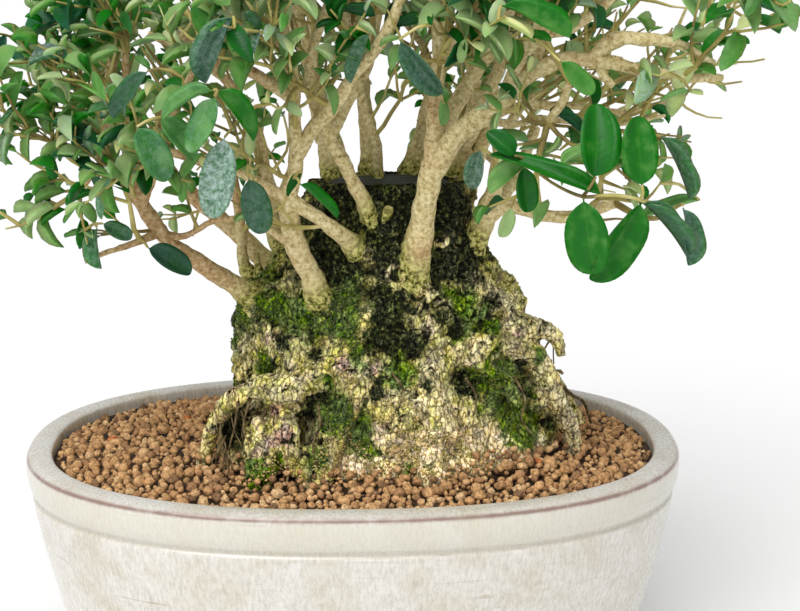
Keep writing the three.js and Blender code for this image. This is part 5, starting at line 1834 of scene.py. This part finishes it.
class BONSAI_OT_crown(bpy.types.Operator):
    """Twigs and leaves"""
    bl_idname = "bonsai.crown"
    bl_label = "Crown"

    def execute(self, context):
        settings = context.scene.bonsai_crown
        rng = random.Random(settings.seed)
        leaf_finish = [leaf_face(), leaf_back()]
        templates = [leaf_template(*shape) for shape in LEAF_SHAPES]
        twigs = []
        limbs = crown_limbs()
        for number, (path, heading) in enumerate(limbs, 1):
            growth = spray_growth(rng, path, heading, settings)
            twigs += growth.twigs
            name = f"spray_{number:02d}"
            mesh = leaves_mesh(name, growth.leaves, templates)
            add_piece(name, mesh, leaf_finish, [f"leafy_shoot_{number:02d}"])
        inner = [inner_growth(rng, path, 0.15, 22, settings) for path, _ in limbs]
        inner += [inner_growth(rng, points, 0.62, 24, settings) for points in BRANCHES.values()]
        inner += [inner_growth(rng, points, 0.3, 16, settings) for points in SLIGHT_BRANCHES]
        leaves = [leaf for growth in inner for leaf in growth.leaves]
        for number in range(3):
            name = f"inner_leaves_{number + 1}"
            add_piece(name, leaves_mesh(name, leaves[number::3], templates), leaf_finish)
        twigs += [twig for growth in inner for twig in growth.twigs]
        paths = [even_path(path, 4) for path, _ in limbs]
        paths += [even_path(points, 4)[8:] for points in [*BRANCHES.values(), *SLIGHT_BRANCHES]]
        front = front_growth(rng, [point[:3] for path in paths + twigs for point in path])
        rows = [0.5 - 0.5 * math.cos(math.pi * number / 16) for number in range(17)]
        fine = [leaf_template(fold * 0.6, droop, twist, 6, rows) for fold, droop, twist in LEAF_SHAPES]
        add_piece("front_leaves", leaves_mesh("front", front.leaves, fine), leaf_finish)
        twigs += front.twigs
        add_piece("twig_wood", tubes(twigs, 1), [twig_bark()])
        return {"FINISHED"}


class BONSAI_OT_stage(bpy.types.Operator):
    """Floor, soft light and camera"""
    bl_idname = "bonsai.stage"
    bl_label = "Stage"

    def execute(self, context):
        settings = context.scene.bonsai_stage
        bm = bmesh.new()
        bmesh.ops.create_grid(bm, x_segments=1, y_segments=1, size=FLOOR_REACH)
        floor = put("floor", to_mesh("floor", bm))
        paper = {"Roughness": 0.9, "Base Color": [*settings.floor_colour, 1]}
        set_finish(floor.data, new_finish("white paper sweep", paper)[0])
        world = bpy.data.worlds.new("white surroundings")
        context.scene.world = world
        world.use_nodes = True
        sky = world.node_tree.nodes["Background"]
        sky.inputs["Color"].default_value = linear("#ffffff")
        sky.inputs["Strength"].default_value = settings.sky
        window = bpy.data.lights.new("window", "SUN")
        window.energy = settings.window
        window.angle = math.radians(WINDOW_ANGLE)
        key = bpy.data.lights.new("key", "AREA")
        key.energy = settings.key_power
        key.size = KEY_SIZE
        for light, place in ((window, WINDOW_PLACE), (key, KEY_PLACE)):
            lamp = put(light.name, light)
            lamp.location = place
            lamp.rotation_euler = (LIGHT_TARGET - place).to_track_quat("-Z", "Y").to_euler()
        camera = put("camera", bpy.data.cameras.new("camera"))
        camera.data.lens = CAMERA_LENS
        camera.data.sensor_width = CAMERA_SENSOR
        camera.location = CAMERA_PLACE
        camera.rotation_euler = (math.radians(CAMERA_TILT), 0, math.radians(CAMERA_TURN))
        context.scene.camera = camera
        context.scene.view_settings.view_transform = "Standard"
        return {"FINISHED"}


class BONSAI_PT_panel(bpy.types.Panel):
    """Steps and settings of the bonsai"""
    bl_idname = "BONSAI_PT_panel"
    bl_label = "Bonsai"
    bl_space_type = "VIEW_3D"
    bl_region_type = "UI"
    bl_category = "Bonsai"

    def draw(self, context):
        for operator in OPERATORS:
            self.layout.operator(operator.bl_idname)
        for name, group in SETTINGS.items():
            box = self.layout.box()
            for value in group.__annotations__:
                box.prop(getattr(context.scene, name), value)


SETTINGS = {
    "bonsai_pot": BonsaiPotSettings,
    "bonsai_wood": BonsaiWoodSettings,
    "bonsai_moss": BonsaiMossSettings,
    "bonsai_soil": BonsaiSoilSettings,
    "bonsai_crown": BonsaiCrownSettings,
    "bonsai_stage": BonsaiStageSettings,
}
OPERATORS = (
    BONSAI_OT_stage, BONSAI_OT_pot, BONSAI_OT_drainage, BONSAI_OT_stump, BONSAI_OT_cut,
    BONSAI_OT_branches, BONSAI_OT_soil, BONSAI_OT_moss, BONSAI_OT_crown,
)


def register():
    for kind in (*SETTINGS.values(), *OPERATORS, BONSAI_PT_panel):
        bpy.utils.register_class(kind)
    for name, group in SETTINGS.items():
        setattr(bpy.types.Scene, name, PointerProperty(type=group))


def unregister():
    for name in SETTINGS:
        delattr(bpy.types.Scene, name)
    for kind in (BONSAI_PT_panel, *reversed(OPERATORS), *SETTINGS.values()):
        bpy.utils.unregister_class(kind)


def main():
    register()
    bpy.ops.bonsai.stage()
    bpy.ops.bonsai.pot()
    bpy.ops.bonsai.drainage()
    bpy.ops.bonsai.stump()
    bpy.ops.bonsai.cut()
    bpy.ops.bonsai.branches()
    bpy.ops.bonsai.soil()
    bpy.ops.bonsai.moss()
    bpy.ops.bonsai.crown()


if __name__ == "__main__":
    main()
